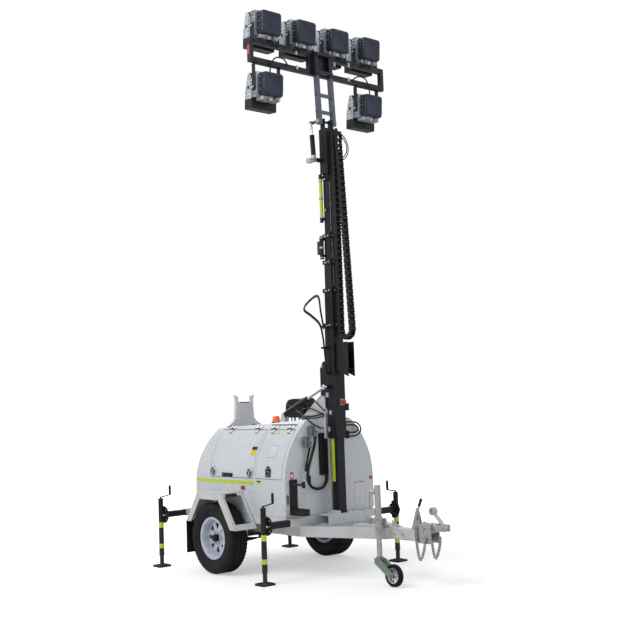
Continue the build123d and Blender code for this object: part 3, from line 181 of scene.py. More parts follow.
world = bpy.data.worlds.new("studio")
scene.world = world
world.use_nodes = True
tree = world.node_tree
tree.nodes.clear()
rays = add_node(tree, "ShaderNodeLightPath").outputs
direct = calculate(tree, "MAXIMUM", rays["Is Camera Ray"], rays["Is Transmission Ray"])
seen = calculate(tree, "MAXIMUM", direct, rays["Is Glossy Ray"])
soft_sky = add_node(tree, "ShaderNodeBackground", {"Color": (0.96, 0.98, 1, 1), "Strength": SKY_STRENGTH})
white_sky = add_node(tree, "ShaderNodeBackground", {"Color": (1, 1, 1, 1), "Strength": 1.0})
sky = add_node(tree, "ShaderNodeMixShader", {0: seen, 1: soft_sky.outputs[0], 2: white_sky.outputs[0]})
add_node(tree, "ShaderNodeOutputWorld", {"Surface": sky.outputs[0]})


def soft_lamp(name, place, target, size, watts):
    """A large square lamp that looks at a point."""
    lamp_data = bpy.data.lights.new(name, "AREA")
    lamp_data.size = size
    lamp_data.energy = watts
    lamp_object = bpy.data.objects.new(name, lamp_data)
    lamp_object.location = place
    lamp_object.rotation_euler = (target - place).to_track_quat("-Z", "Y").to_euler()
    bpy.context.collection.objects.link(lamp_object)


LAMP_SIZE = 5
LAMP_TARGET = at(0, 0, 1.5)
for name, place, watts in (("key_lamp", (0.5, -7.5, 8.6), 370), ("rear_lamp", (-8, 3, 6), 190),
                           ("front_lamp", (8, 4, 5), 60)):
    soft_lamp(name, at(*place), LAMP_TARGET, LAMP_SIZE, watts)

# %% [markdown]
# The floor is a wide pale plane. Where the camera sees it directly it adds a little light of its
# own, more so away from the trailer, so that it meets the white background and still keeps the
# soft shadow below the machine.

# %% Floor
BARE_RADIUS_M = 1.5
WHITE_RADIUS_M = 5.0
GLOW = (0.4, 0.95)
floor_material, tree, shader, place = new_material("pale studio floor")
shader.inputs["Base Color"].default_value = hex_colour("#F2F2F2")
shader.inputs["Roughness"].default_value = 0.9
reach = add_node(tree, "ShaderNodeVectorMath", {0: place}, operation="LENGTH")
level = remap(tree, reach.outputs["Value"], BARE_RADIUS_M, WHITE_RADIUS_M, *GLOW)
glow = add_node(tree, "ShaderNodeEmission", {"Color": (1, 1, 1, 1), "Strength": level})
lit_floor = add_node(tree, "ShaderNodeAddShader", {0: shader.outputs[0], 1: glow.outputs[0]})
rays = add_node(tree, "ShaderNodeLightPath")
pick = add_node(tree, "ShaderNodeMixShader", {0: rays.outputs["Is Camera Ray"], 1: shader.outputs[0],
                                              2: lit_floor.outputs[0]})
tree.links.new(pick.outputs[0], tree.nodes["Material Output"].inputs["Surface"])
FLOOR_M = 160
bpy.ops.mesh.primitive_plane_add(size=FLOOR_M, location=(0, 0, -0.0005))
floor = bpy.context.object
floor.name = "studio_floor"
floor.data.materials.append(floor_material)
floor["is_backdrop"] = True
print("floor:", FLOOR_M, "m across")

# %% [markdown]
# ## Finishes
# Each finish starts from what the real surface is. Its patterns use object coordinates, so they
# stay on the metal when a piece turns, and their scale comes from a size in millimetres: a noise
# of scale 1000 / size has features about that large.

# %% One recipe for sprayed, moulded and cast surfaces
DUST_AND_BOUNCE_TOP_M = 0.75
WORN_EDGE_M = 0.004
CHIP_MM = 9
SMEAR_MM = 110


def mixed(tree, share, colour, code):
    """A colour with a share of another in it."""
    return add_node(tree, "ShaderNodeMixRGB", {"Fac": share, "Color1": colour,
                                               "Color2": hex_colour(code)}).outputs[0]


def coated(name, light, dark, patch_mm, gloss, grain_mm, grain_depth_mm, metallic=0.0, coat=0.0,
           worn=None, worn_share=0.5, dust_and_bounce=None, shine=0.5):
    """A surface with an uneven tone and gloss, a fine grain, and on request worn edges and, towards the
    bottom, dust with a painted tint of light bounced from the ground.
    """
    material, tree, shader, place = new_material(name)
    patches = noise(tree, place, patch_mm, 5.0)
    tone = add_node(tree, "ShaderNodeValToRGB", {"Fac": patches})
    for mark, position, code in zip(tone.color_ramp.elements, (0.36, 0.64), (dark, light)):
        mark.position = position
        mark.color = hex_colour(code)
    colour = tone.outputs["Color"]
    # Dust and a painted tint of light bounced up from the ground, both growing towards the bottom.
    if dust_and_bounce:
        height = add_node(tree, "ShaderNodeSeparateXYZ", {0: place})
        low = remap(tree, height.outputs["Z"], 0.0, DUST_AND_BOUNCE_TOP_M, 0.55, 0.0)
        colour = mixed(tree, calculate(tree, "MULTIPLY", low, patches), colour, dust_and_bounce)
    if worn:
        soft = add_node(tree, "ShaderNodeBevel", {"Radius": WORN_EDGE_M}, samples=4)
        true = add_node(tree, "ShaderNodeNewGeometry")
        along = add_node(tree, "ShaderNodeVectorMath", {0: soft.outputs[0], 1: true.outputs["Normal"]},
                         operation="DOT_PRODUCT")
        edge = remap(tree, along.outputs["Value"], 0.985, 0.90, 0.0, 1.0)
        broken = remap(tree, noise(tree, place, CHIP_MM, 4.0), 0.48, 0.62, 0.0, worn_share)
        colour = mixed(tree, calculate(tree, "MULTIPLY", edge, broken), colour, worn)
    tree.links.new(colour, shader.inputs["Base Color"])
    sheen = remap(tree, noise(tree, place, SMEAR_MM, 6.0), 0.0, 1.0, *gloss)
    tree.links.new(sheen, shader.inputs["Roughness"])
    give_relief(tree, shader, noise(tree, place, grain_mm, 3.0), grain_depth_mm)
    shader.inputs["Metallic"].default_value = metallic
    shader.inputs["Specular IOR Level"].default_value = shine
    shader.inputs["Coat Weight"].default_value = coat
    shader.inputs["Coat Roughness"].default_value = 0.1
    return material


# %% [markdown]
# The canopy is steel sheet with a gloss powder coat. Its orange-peel grain is about 4 mm across
# in life and is drawn at 6 mm so that it shows. The chassis has the same white, sprayed thinner;
# near the ground it carries dust and a painted brown tint that stands for light bounced from the
# ground. The mast and the legs are satin black and chip to bare grey at their edges.

# %% Paints
canopy_white = coated("white gloss powder coat on steel sheet", "#DFE2E6", "#D9DCE1", 420, (0.24, 0.31),
                      6, 0.03, coat=0.4)
chassis_white = coated("white sprayed chassis enamel", "#DEE0E2", "#CDD0D3", 160, (0.32, 0.5), 5, 0.05,
                       coat=0.15, worn="#8B8C8C", worn_share=0.6, dust_and_bounce="#A59C8C")
mast_black = coated("satin black mast enamel", "#1E1F22", "#131417", 130, (0.34, 0.5), 5, 0.05,
                    worn="#6C6E70", worn_share=0.55, shine=0.25)
leg_black = coated("satin black leg enamel", "#1B1C1E", "#111214", 90, (0.36, 0.55), 5, 0.06,
                   worn="#77787A", worn_share=0.7, dust_and_bounce="#5F5A50", shine=0.25)
bar_blue = coated("blue-black sprayed tube", "#2A2E3A", "#1E212B", 120, (0.34, 0.5), 5, 0.05,
                  worn="#6B7078", worn_share=0.5, shine=0.25)
post_grey = coated("blue-grey sprayed post", "#596175", "#454C5E", 90, (0.3, 0.45), 5, 0.05, coat=0.1)
rim_white = coated("silver wheel lacquer", "#D2D7E4", "#BBC1D1", 70, (0.25, 0.4), 5, 0.03, coat=0.3,
                   worn="#8F9296", worn_share=0.4)
fork_green = coated("grey-green hammered enamel", "#8B9A8B", "#73826F", 40, (0.38, 0.55), 6, 0.12,
                    worn="#5F5D58", worn_share=0.6)
engine_grey = coated("grey engine enamel", "#4B4E52", "#36383B", 90, (0.4, 0.6), 8, 0.2)
print("materials so far:", len(bpy.data.materials))

# %% [markdown]
# Hot-dip zinc shows its crystals: flat cells 10 to 20 mm across, each a slightly different grey
# and gloss. The Voronoi texture gives every cell one value for both.

# %% Bare metals
PIT_MM = 7


def zinc(name, light, dark, crystal_mm, metallic):
    """Zinc that froze in flat crystals, with a fine pitted skin."""
    material, tree, shader, place = new_material(name)
    cells = add_node(tree, "ShaderNodeTexVoronoi", {"Vector": place, "Scale": 1000 / crystal_mm})
    tone = add_node(tree, "ShaderNodeValToRGB", {"Fac": cells.outputs["Color"]})
    for mark, code in zip(tone.color_ramp.elements, (dark, light)):
        mark.color = hex_colour(code)
    tree.links.new(tone.outputs["Color"], shader.inputs["Base Color"])
    sheen = remap(tree, cells.outputs["Color"], 0.0, 1.0, 0.34, 0.56)
    tree.links.new(sheen, shader.inputs["Roughness"])
    give_relief(tree, shader, noise(tree, place, PIT_MM, 4.0), 0.08)
    shader.inputs["Metallic"].default_value = metallic
    return material


galvanised = zinc("hot-dip galvanised steel", "#C2C4C3", "#989B9A", 14, 0.6)
zinc_bolt = zinc("bright zinc plated bolts", "#D2D3D1", "#ABADAC", 5, 0.8)
zinc_chain = zinc("zinc plated chain", "#C6C7C4", "#9A9B98", 6, 0.75)
chrome = coated("hard chromed rod", "#CBCED2", "#B9BDC2", 60, (0.08, 0.16), 12, 0.01, metallic=1.0)
cast_silver = coated("silver painted casting", "#C9CDD4", "#A5AAB4", 45, (0.3, 0.48), 5, 0.12, metallic=0.45,
                     worn="#6E7076", worn_share=0.5)
cast_beige = coated("weathered cast aluminium", "#A7A49B", "#7F7D76", 35, (0.42, 0.6), 4, 0.15, metallic=0.5)
print("materials so far:", len(bpy.data.materials))

# %% [markdown]
# The lamps' rear covers are a moulded blue-grey plastic with a fine spark-eroded texture, so
# they stay matt. Hoses are extruded rubber, and the lenses are clear coloured acrylic.

# %% Plastics, rubber and lenses
black_plastic = coated("black moulded nylon", "#1F2022", "#151517", 60, (0.42, 0.6), 4, 0.06, shine=0.25)
grey_plastic = coated("grey moulded socket plastic", "#74777C", "#5F6266", 60, (0.38, 0.52), 4, 0.05)
cover_blue = coated("blue-grey moulded lamp cover", "#3E4355", "#333849", 90, (0.4, 0.54), 4, 0.07,
                    worn="#6A7080", worn_share=0.4, shine=0.25)
hood_black = coated("black sprayed lamp hood", "#25262B", "#18191C", 70, (0.4, 0.56), 5, 0.06,
                    worn="#5C5E63", worn_share=0.5, shine=0.25)
hose_black = coated("extruded black rubber hose", "#1C1C1E", "#111113", 50, (0.42, 0.58), 4, 0.05, shine=0.25)
seal_black = coated("black sponge rubber seal", "#161617", "#0D0D0E", 30, (0.7, 0.85), 3, 0.1, shine=0.25)
lens_red = coated("red acrylic lens", "#C2281B", "#A81F15", 30, (0.08, 0.16), 4, 0.02, coat=0.8)
lens_orange = coated("orange acrylic beacon lens", "#FF7C34", "#FA6C24", 40, (0.08, 0.16), 4, 0.02, coat=0.8)
# A weak glow on the orange lens is painted light: it stands for daylight shining through the acrylic.
painted_lens_glow = lens_orange.node_tree.nodes["Principled BSDF"].inputs
painted_lens_glow["Emission Color"].default_value = hex_colour("#FF6A20")
painted_lens_glow["Emission Strength"].default_value = 0.22
knob_red = coated("red moulded stop knob", "#C8331F", "#AD2715", 30, (0.25, 0.35), 4, 0.03)
box_maroon = coated("red-brown oxide primer", "#4A2522", "#38191A", 30, (0.45, 0.6), 4, 0.05)
plate_white = coated("blank white vinyl plate", "#E6E8EB", "#DDDFE3", 60, (0.3, 0.4), 4, 0.02)
plate_red = coated("red printed vinyl", "#C33A35", "#B23230", 40, (0.3, 0.4), 4, 0.02)
plate_yellow = coated("yellow printed vinyl", "#E9D82A", "#DDCB20", 40, (0.3, 0.4), 4, 0.02)
plate_line = coated("grey printed border", "#A9A8AC", "#9A999E", 40, (0.3, 0.4), 4, 0.02)
print("materials so far:", len(bpy.data.materials))

# %% [markdown]
# The marking tape is a prismatic sheet: rows of small cells under a clear face, which look like
# a fine honeycomb. The cells are 3 mm in life and are drawn at 8 mm so that they show.

# %% Marking tape
TAPE_CELL_MM = 8


def marking_tape(name, light, dark):
    """Yellow-green prismatic tape with a honeycomb under its clear face."""
    material = coated(name, light, dark, 80, (0.25, 0.38), 5, 0.02, coat=0.5)
    tree = material.node_tree
    shader = tree.nodes["Principled BSDF"]
    place = add_node(tree, "ShaderNodeTexCoord").outputs["Object"]
    cells = add_node(tree, "ShaderNodeTexVoronoi", {"Vector": place, "Scale": 1000 / TAPE_CELL_MM},
                     feature="DISTANCE_TO_EDGE")
    walls = remap(tree, cells.outputs["Distance"], 0.0, 0.08, 0.0, 1.0)
    give_relief(tree, shader, walls, 0.3, 0.5)
    return material


tape_bright = marking_tape("yellow-green prismatic tape", "#D6E500", "#C6D600")
tape_soft = marking_tape("sun-bleached yellow-green tape", "#D2E62C", "#C4D820")
print("materials so far:", len(bpy.data.materials))

# %% [markdown]
# Tyre rubber is a dull near-black with a grey bloom, and towards the ground the tread carries road dust and a
# painted tint of light bounced from the ground.

# %% Tyre rubber
road_rubber = coated("tyre rubber with a grey bloom", "#1B1B1C", "#0F0F10", 120, (0.6, 0.8), 4, 0.12,
                     worn="#302F2D", worn_share=0.6, dust_and_bounce="#2E2B26", shine=0.25)
print("materials so far:", len(bpy.data.materials))

# %% [markdown]
# Some solids wear two finishes, such as the lamp head, whose posts are lighter than its bars.
# A mask made from the height, measured in object coordinates, mixes the two shaders. It goes
# with the metal, because the coordinates belong to the piece.

# %% Two finishes on one solid


def two_by_height(name, low_finish, high_finish, height_m):
    """One material that changes from one finish to another at a height."""
    material = bpy.data.materials.new(name)
    material.use_nodes = True
    tree = material.node_tree
    tree.nodes.remove(tree.nodes["Principled BSDF"])
    halves = []
    for finish in (low_finish, high_finish):
        copies = {}
        for old in finish.node_tree.nodes:
            if old.bl_idname == "ShaderNodeOutputMaterial":
                continue
            new = tree.nodes.new(old.bl_idname)
            copies[old] = new
            for setting in ("operation", "samples", "feature"):
                if hasattr(old, setting):
                    setattr(new, setting, getattr(old, setting))
            for k, socket in enumerate(old.inputs):
                if hasattr(socket, "default_value"):
                    new.inputs[k].default_value = socket.default_value
            if old.bl_idname == "ShaderNodeValToRGB":
                for mark, source in zip(new.color_ramp.elements, old.color_ramp.elements):
                    mark.position = source.position
                    mark.color = source.color
        for wire in finish.node_tree.links:
            if wire.to_node in copies:
                index = list(wire.to_node.inputs).index(wire.to_socket)
                source = copies[wire.from_node].outputs[wire.from_socket.name]
                tree.links.new(source, copies[wire.to_node].inputs[index])
        halves.append(next(node for node in copies.values() if node.bl_idname == "ShaderNodeBsdfPrincipled"))
    place = add_node(tree, "ShaderNodeTexCoord").outputs["Object"]
    height = add_node(tree, "ShaderNodeSeparateXYZ", {0: place})
    above = add_node(tree, "ShaderNodeMath", {0: height.outputs["Z"], 1: height_m}, operation="GREATER_THAN")
    both = add_node(tree, "ShaderNodeMixShader", {0: above.outputs[0], 1: halves[0].outputs[0],
                                                  2: halves[1].outputs[0]})
    tree.links.new(both.outputs[0], tree.nodes["Material Output"].inputs["Surface"])
    return material


head_paint = two_by_height("blue-grey posts below blue-black bars", post_grey, bar_blue, 4.88)
hood_on_legs = two_by_height("black covers on silver legs", galvanised, black_plastic, 1.5)
actuator_finish = two_by_height("black barrel on a silver gearbox", cast_silver, leg_black, 4.085)
lever_grip = two_by_height("black grip on a zinc lever", galvanised, black_plastic, 0.71)
print("materials so far:", len(bpy.data.materials))

# %% [markdown]
# A carried-over solid keeps its shape and only takes a finish: its material slots are cleared and
# given that one finish. Each solid wears the first finish in the table whose start its name has, and
# what the table leaves over is rubber.

# %% Finishes for the solids
FINISHES = [
    (canopy_white, ("canopy_", "service_door_", "panel_door_")),
    (galvanised, ("drawbar_fittings", "jockey_tube", "jockey_stem", "coupling_")),
    (chassis_white, ("chassis_frame", "drawbar", "mudguards", "mast_support", "rest_bracket")),
    (mast_black, ("mast_",)),
    (leg_black, ("arm_", "leg_", "foot_", "axle_and_springs", "extinguisher_bracket", "tilt_barrel")),
    (chrome, ("tilt_rod", "head_actuator_rod")),
    (rim_white, ("rim_",)),
    (engine_grey, ("engine_block",)),
    (hood_on_legs, ("roof_hoods",)),
    (grey_plastic, ("power_sockets",)),
    (zinc_chain, ("safety_chains",)),
    (head_paint, ("head_frame",)),
    (cast_silver, ("lamp_housings",)),
    (hood_black, ("lamp_hoods",)),
    (actuator_finish, ("head_actuator_body",)),
    (fork_green, ("jockey_fork",)),
    (lever_grip, ("brake_lever",)),
    (hose_black, ("short_hoses",)),
]
for node_name, node in nodes.items():
    finish = next((finish for finish, starts in FINISHES if node_name.startswith(starts)), road_rubber)
    node.data.materials.clear()
    node.data.materials.append(finish)
print("finishes given:", len(nodes))

# %% [markdown]
# ## Mesh helpers
# Nearly every fitting is a row of rings with skin between them: a bar has two rings, a turned
# part has one for each step of its profile, and a hose has one for each point of its route. All
# coordinates are metres from the axle, and the finished piece is moved once to the frame's place.

# %% Rings and skins


def loft(mesh, rings, finish=0, joined=False):
    """Skins a row of rings with equal numbers of points. The ends are closed, or joined."""
    rows = [[mesh.verts.new(point) for point in ring] for ring in rings]
    pairs = list(zip(rows, rows[1:]))
    if joined:
        pairs.append((rows[-1], rows[0]))
    for lower, upper in pairs:
        for k in range(len(lower)):
            m = (k + 1) % len(lower)
            mesh.faces.new((lower[k], lower[m], upper[m], upper[k])).material_index = finish
    if not joined:
        mesh.faces.new(rows[0][::-1]).material_index = finish
        mesh.faces.new(rows[-1]).material_index = finish


def ring_at(centre, turn, radius, sides):
    """A ring of points round a centre, turned by a rotation."""
    angles = [2 * pi * k / sides for k in range(sides)]
    return [centre + turn @ Vector((radius * cos(angle), radius * sin(angle), 0)) for angle in angles]


def circle(centre, way, radius, sides):
    """A ring of points round a centre, square to a direction."""
    return ring_at(Vector(centre), Vector(way).to_track_quat("Z", "X"), radius, sides)


def bar(mesh, start, end, radius, finish=0, sides=20, end_radius=None):
    """A round bar or a cone between two points."""
    way = Vector(end) - Vector(start)
    last = radius if end_radius is None else end_radius
    loft(mesh, [circle(start, way, radius, sides), circle(end, way, last, sides)], finish)


def turned(mesh, centre, way, profile, finish=0, sides=48, joined=False):
    """A turned part: (radius, distance) steps along an axis."""
    way = Vector(way).normalized()
    loft(mesh, [circle(Vector(centre) + way * far, way, radius, sides) for radius, far in profile], finish,
         joined)


def block(mesh, low, high, finish=0):
    """A box between two corners."""
    x, y, z = zip(low, high)
    loft(mesh, [[(x[0], y[0], level), (x[1], y[0], level), (x[1], y[1], level), (x[0], y[1], level)]
                for level in z], finish)


def side_block(mesh, side, x, y, z, finish=0):
    """A box on one side of the trailer, from its ranges. Y is counted outwards from the middle."""
    near, far = sorted((side * y[0], side * y[1]))
    block(mesh, (x[0], near, z[0]), (x[1], far, z[1]), finish)


def plate(mesh, outline, shift, finish=0):
    """A flat plate: an outline and how far it is thick."""
    shift = Vector(shift)
    loft(mesh, [[Vector(point) for point in outline], [Vector(point) + shift for point in outline]], finish)


WASHER_T, WASHER_R, HEAD_R, HEAD_TOP = 0.12, 0.72, 0.56, 0.5


def hex_bolt(mesh, place, way, across, finish=0):
    """A washer with a hexagon head on it. Its sizes are shares of the width across the head."""
    way = Vector(way).normalized()
    seat = Vector(place) + way * across * WASHER_T
    top = Vector(place) + way * across * HEAD_TOP
    bar(mesh, place, seat, across * WASHER_R, finish, 16)
    loft(mesh, [circle(spot, way, across * HEAD_R, 6) for spot in (seat, top)], finish)


def tube(mesh, points, radius, finish=0, sides=12, steps=6):
    """A hose along a smooth curve that passes through the given points."""
    points = [Vector(point) for point in points]
    padded = [points[0] * 2 - points[1], *points, points[-1] * 2 - points[-2]]
    path = []
    for k in range(len(points) - 1):
        before, start, end, after = padded[k:k + 4]
        for step in range(steps):
            t = step / steps
            path.append(0.5 * (2 * start + (end - before) * t
                               + (2 * before - 5 * start + 4 * end - after) * t ** 2
                               + (3 * start - before - 3 * end + after) * t ** 3))
    path.append(points[-1])
    ways = [(b - a).normalized() for a, b in zip(path, path[1:])]
    ways.append(ways[-1])
    turn = ways[0].to_track_quat("Z", "X")
    rings = []
    for k, middle in enumerate(path):
        if k:
            turn = ways[k - 1].rotation_difference(ways[k]) @ turn
        rings.append(ring_at(middle, turn, radius, sides))
    loft(mesh, rings, finish)


# %% [markdown]
# A finished mesh becomes an object and rides on the body that it is fixed to, so it follows
# that body in every pose. Where a real edge is rounded, a small bevel catches the light.

# %% Finish a piece
SHARP_ANGLE = radians(35)
BEVEL_ANGLE = radians(50)


def make_piece(name, mesh, finishes, body, soften=0.0, replaced=None):
    """Turns the mesh into an object in its place, softens its edges and makes it ride on a body."""
    bmesh.ops.translate(mesh, vec=(AXLE_X, 0, 0), verts=mesh.verts)
    bmesh.ops.recalc_face_normals(mesh, faces=mesh.faces)
    for face in mesh.faces:
        face.smooth = True
    data = bpy.data.meshes.new(name)
    mesh.to_mesh(data)
    mesh.free()
    data.set_sharp_from_angle(angle=SHARP_ANGLE)
    for finish in finishes:
        data.materials.append(finish)
    piece = bpy.data.objects.new(name, data)
    bpy.context.collection.objects.link(piece)
    if soften:
        edge = piece.modifiers.new("soft edges", "BEVEL")
        edge.width = soften
        edge.segments = 2
        edge.limit_method = "ANGLE"
        edge.angle_limit = BEVEL_ANGLE
        edge.harden_normals = True
    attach(piece, body)
    if replaced:
        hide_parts(replaced)
    print(name, "rides", body, "with", len(data.polygons), "faces")


# %% [markdown]
# ## The canopy
# The canopy's sides rise straight from the sill and then curve in on one large radius. Anything
# stuck on that sheet has to follow it, so one helper makes every strip, plate and seal as a
# curved block that is measured from the skin: how far it stands out and how far it goes in.

# %% A block that follows the canopy's side
HALF_W = 0.570
SILL = 0.585
BEND_Z = 0.900
SIDE_R = 0.730
ROOF_Z = 1.490
FRONT_X = 0.880
REAR_X = -0.610


def side_y(z):
    """Half the canopy's width at a height."""
    if z <= BEND_Z:
        return HALF_W
    return HALF_W - SIDE_R + sqrt(SIDE_R ** 2 - (z - BEND_Z) ** 2)


def curved_block(mesh, side, x, z, out, into, finish=0, steps=8):
    """A block on the canopy's side, from below its skin to a little above it."""
    rings = []
    for k in range(steps + 1):
        level = z[0] + (z[1] - z[0]) * k / steps
        high = side * (side_y(level) + out)
        low = side * (side_y(level) - into)
        rings.append([(x[0], high, level), (x[1], high, level), (x[1], low, level), (x[0], low, level)])
    loft(mesh, rings, finish)


def sticker(mesh, side, x, z, finish=0):
    """A tape or a plate of thin sheet on the canopy's side."""
    curved_block(mesh, side, x, z, 0.0008, 0.001, finish)


print("canopy", 2 * HALF_W, "m wide and", ROOF_Z, "m high")

# %% [markdown]
# The doors stand in openings with a 5 mm gap. A black strip fills the bottom of that gap: it is the
# canopy's sponge seal, and its black also paints the shade inside the gap, so each gap reads as a
# crisp dark line. The yellow-green tape runs along both sides below the doors, and a rubber gutter
# keeps rain off the front doors.

# %% Seals with painted gap shade, gutters and side tapes
DOORS = {"service_door": (-0.350, 0.385), "panel_door": (0.420, 0.832)}
DOOR_Z = (0.930, 1.400)
SHADE_SEAL_T = 0.0036
SHADE_SEAL_MARGIN = 0.0007
SHADE_SEAL_OUT = -0.006
SHADE_SEAL_IN = 0.022
TAPE_FINISHES = [tape_bright, plate_yellow, black_plastic]
T_BRIGHT, T_YELLOW, T_BLACK = range(3)

# The black seal strips sit deep in the door gaps and paint the shade there.
seals_and_gap_shade = bmesh.new()
tapes = bmesh.new()
for side in (-1, 1):
    for x in DOORS.values():
        for low_x in (x[0] + SHADE_SEAL_MARGIN, x[1] - SHADE_SEAL_MARGIN - SHADE_SEAL_T):
            curved_block(seals_and_gap_shade, side, (low_x, low_x + SHADE_SEAL_T), DOOR_Z, SHADE_SEAL_OUT, SHADE_SEAL_IN)
        for low_z in (DOOR_Z[0] + SHADE_SEAL_MARGIN, DOOR_Z[1] - SHADE_SEAL_MARGIN - SHADE_SEAL_T):
            across_x = (x[0] + 0.005, x[1] - 0.005)
            curved_block(seals_and_gap_shade, side, across_x, (low_z, low_z + SHADE_SEAL_T), SHADE_SEAL_OUT, SHADE_SEAL_IN)
    curved_block(seals_and_gap_shade, side, (0.405, 0.800), (1.4405, 1.4475), 0.0035, 0.004)
    sticker(tapes, side, (-0.590, 0.396), (0.871, 0.904), T_BRIGHT)
    sticker(tapes, side, (0.440, 0.500), (0.877, 0.897), T_YELLOW)
    sticker(tapes, side, (0.440, 0.500), (0.897, 0.912), T_BLACK)
print("seal", 1000 * SHADE_SEAL_T, "mm thick, doors from", DOOR_Z[0], "to", DOOR_Z[1], "m")
make_piece("door_seals_gap_shade_and_gutters", seals_and_gap_shade, [seal_black], "chassis")
make_piece("side_tapes", tapes, TAPE_FINISHES, "chassis")

# %% [markdown]
# Each service door carries two round flush latches, a black pull bar between them and a blank
# two-colour plate. Each panel door has a house-shaped folding handle and a blank white plate.
# The hinges' leaves and knuckles are black steel. All of it rides on the door, apart from the
# hinge halves that stay on the roof.

# %% Door furniture
FITTING_FINISHES = [black_plastic, zinc_bolt, plate_yellow, plate_white, plate_line]
BLACK, SILVER, YELLOW, WHITE, LINE = range(5)
HINGE_Z = 1.406
HINGE_Y = side_y(DOOR_Z[1]) + 0.006
HINGE_LEN = 0.040
KNUCKLE_R = 0.0086
LATCH_Z = 0.984
EDGE_R = 0.0008


def round_latch(mesh, side, x):
    """A flush latch: a silver dish ring, a black bowl and a folding T handle."""
    centre = (x, side * 0.560, LATCH_Z)
    turned(mesh, centre, (0, side, 0), [(0.047, 0.002), (0.047, 0.0150), (0.044, 0.0185), (0.038, 0.0185),
                                        (0.037, 0.0175)], SILVER)
    turned(mesh, centre, (0, side, 0), [(0.0368, 0.010), (0.0368, 0.0180)], BLACK)
    for half_x, low_z in ((0.010, -0.026), (0.024, 0.012)):
        side_block(mesh, side, (x - half_x, x + half_x), (0.5778, 0.5815),
                   (LATCH_Z + low_z, LATCH_Z + 0.026), SILVER)


def service_fittings(mesh, side):
    """Two latches, a pull bar in its recess and a blank plate in two colours."""
    for x in (-0.292, 0.327):
        round_latch(mesh, side, x)
    side_block(mesh, side, (-0.134, 0.040), (0.562, 0.5755), (0.9362, 0.9745), BLACK)
    bar(mesh, (-0.123, side * 0.5765, 0.952), (0.029, side * 0.5765, 0.952), 0.0088, BLACK)
    for x in (-0.105, 0.011):
        bar(mesh, (x, side * 0.570, 0.964), (x, side * 0.578, 0.964), 0.004, SILVER, 12)
    sticker(mesh, side, (0.290, 0.370), (1.152, 1.206), YELLOW)
    sticker(mesh, side, (0.290, 0.370), (1.206, 1.237), BLACK)


def panel_fittings(mesh, side):
    """A house-shaped folding handle, a white plate with a thin border and a small yellow one."""
    y = side * 0.562
    house = [(0.588, y, 0.953), (0.657, y, 0.953), (0.657, y, 1.021), (0.6225, y, 1.058), (0.588, y, 1.021)]
    plate(mesh, house, (0, side * 0.0155, 0), BLACK)
    side_block(mesh, side, (0.596, 0.649), (0.562, 0.5795), (0.962, 1.008), LINE)
    side_block(mesh, side, (0.601, 0.644), (0.562, 0.5808), (0.968, 1.002), BLACK)
    bar(mesh, (0.6225, y, 1.030), (0.6225, side * 0.5795, 1.030), 0.007, SILVER, 16)
    sticker(mesh, side, (0.560, 0.700), (1.135, 1.255), LINE)
    curved_block(mesh, side, (0.564, 0.696), (1.139, 1.251), 0.0012, 0.0005, WHITE)
    sticker(mesh, side, (0.572, 0.612), (1.358, 1.382), YELLOW)


def knuckle(mesh, side, x, finish=0):
    """A hinge barrel between two places along the door's top edge."""
    bar(mesh, (x[0], side * HINGE_Y, HINGE_Z), (x[1], side * HINGE_Y, HINGE_Z), KNUCKLE_R, finish)


hinge_halves = bmesh.new()
DRESSED_DOORS = {"service_door": service_fittings, "panel_door": panel_fittings}
for side, side_name in ((-1, "right"), (1, "left")):
    for kind, x in DOORS.items():
        fittings = bmesh.new()
        DRESSED_DOORS[kind](fittings, side)
        inset = (x[1] - x[0]) * 0.2
        for hinge_x in (x[0] + inset, x[1] - inset):
            half = HINGE_LEN / 2
            leaf_x = (hinge_x - half, hinge_x + half)
            knuckle(fittings, side, leaf_x, BLACK)
            curved_block(fittings, side, leaf_x, (1.362, 1.394), 0.0048, 0.001, BLACK)
            for bolt_x in (hinge_x - 0.011, hinge_x + 0.011):
                y = side * (side_y(1.374) + 0.004)
                bar(fittings, (bolt_x, y, 1.374), (bolt_x, y + side * 0.003, 1.3755), 0.0035, SILVER, 12)
            for way in (-1, 1):
                ends = sorted((hinge_x + way * (half + 0.0006), hinge_x + way * (half + 0.020)))
                knuckle(hinge_halves, side, ends)
                curved_block(hinge_halves, side, ends, (1.411, 1.438), 0.0045, 0.001)
        make_piece(f"{kind}_fittings_{side_name}", fittings, FITTING_FINISHES, f"{kind}_{side_name}",
                   soften=EDGE_R)
make_piece("roof_hinge_halves", hinge_halves, [black_plastic], "chassis", soften=EDGE_R)

# %% [markdown]
# The front face is a flat sheet. A narrow weld bead runs round its rim and catches the light,
# and it carries blank plates, an oval vent and a red reflector. Dome screws hold the sheet.

# %% Front face
FRONT_FINISHES = [black_plastic, zinc_bolt, plate_white, canopy_white, plate_line, plate_red, lens_red]
F_BLACK, F_SILVER, F_WHITE, F_CANOPY, F_LINE, F_RED, F_LENS = range(7)
CROWN_STEPS = 12
RIM_BEAD_R = 0.0028
SCREW = [(0.0055, -0.001), (0.0052, 0.0015), (0.002, 0.0032)]
crown_angle = asin((ROOF_Z - BEND_Z) / SIDE_R)


def crown_level(share):
    """A height on the canopy's bend, from a share of the bend's angle."""
    return BEND_Z + SIDE_R * sin(crown_angle * share)


def front_plate(mesh, y, z, lift, finish):
    """A thin plate on the front sheet."""
    block(mesh, (FRONT_X - 0.001, y[0], z[0]), (FRONT_X + lift, y[1], z[1]), finish)


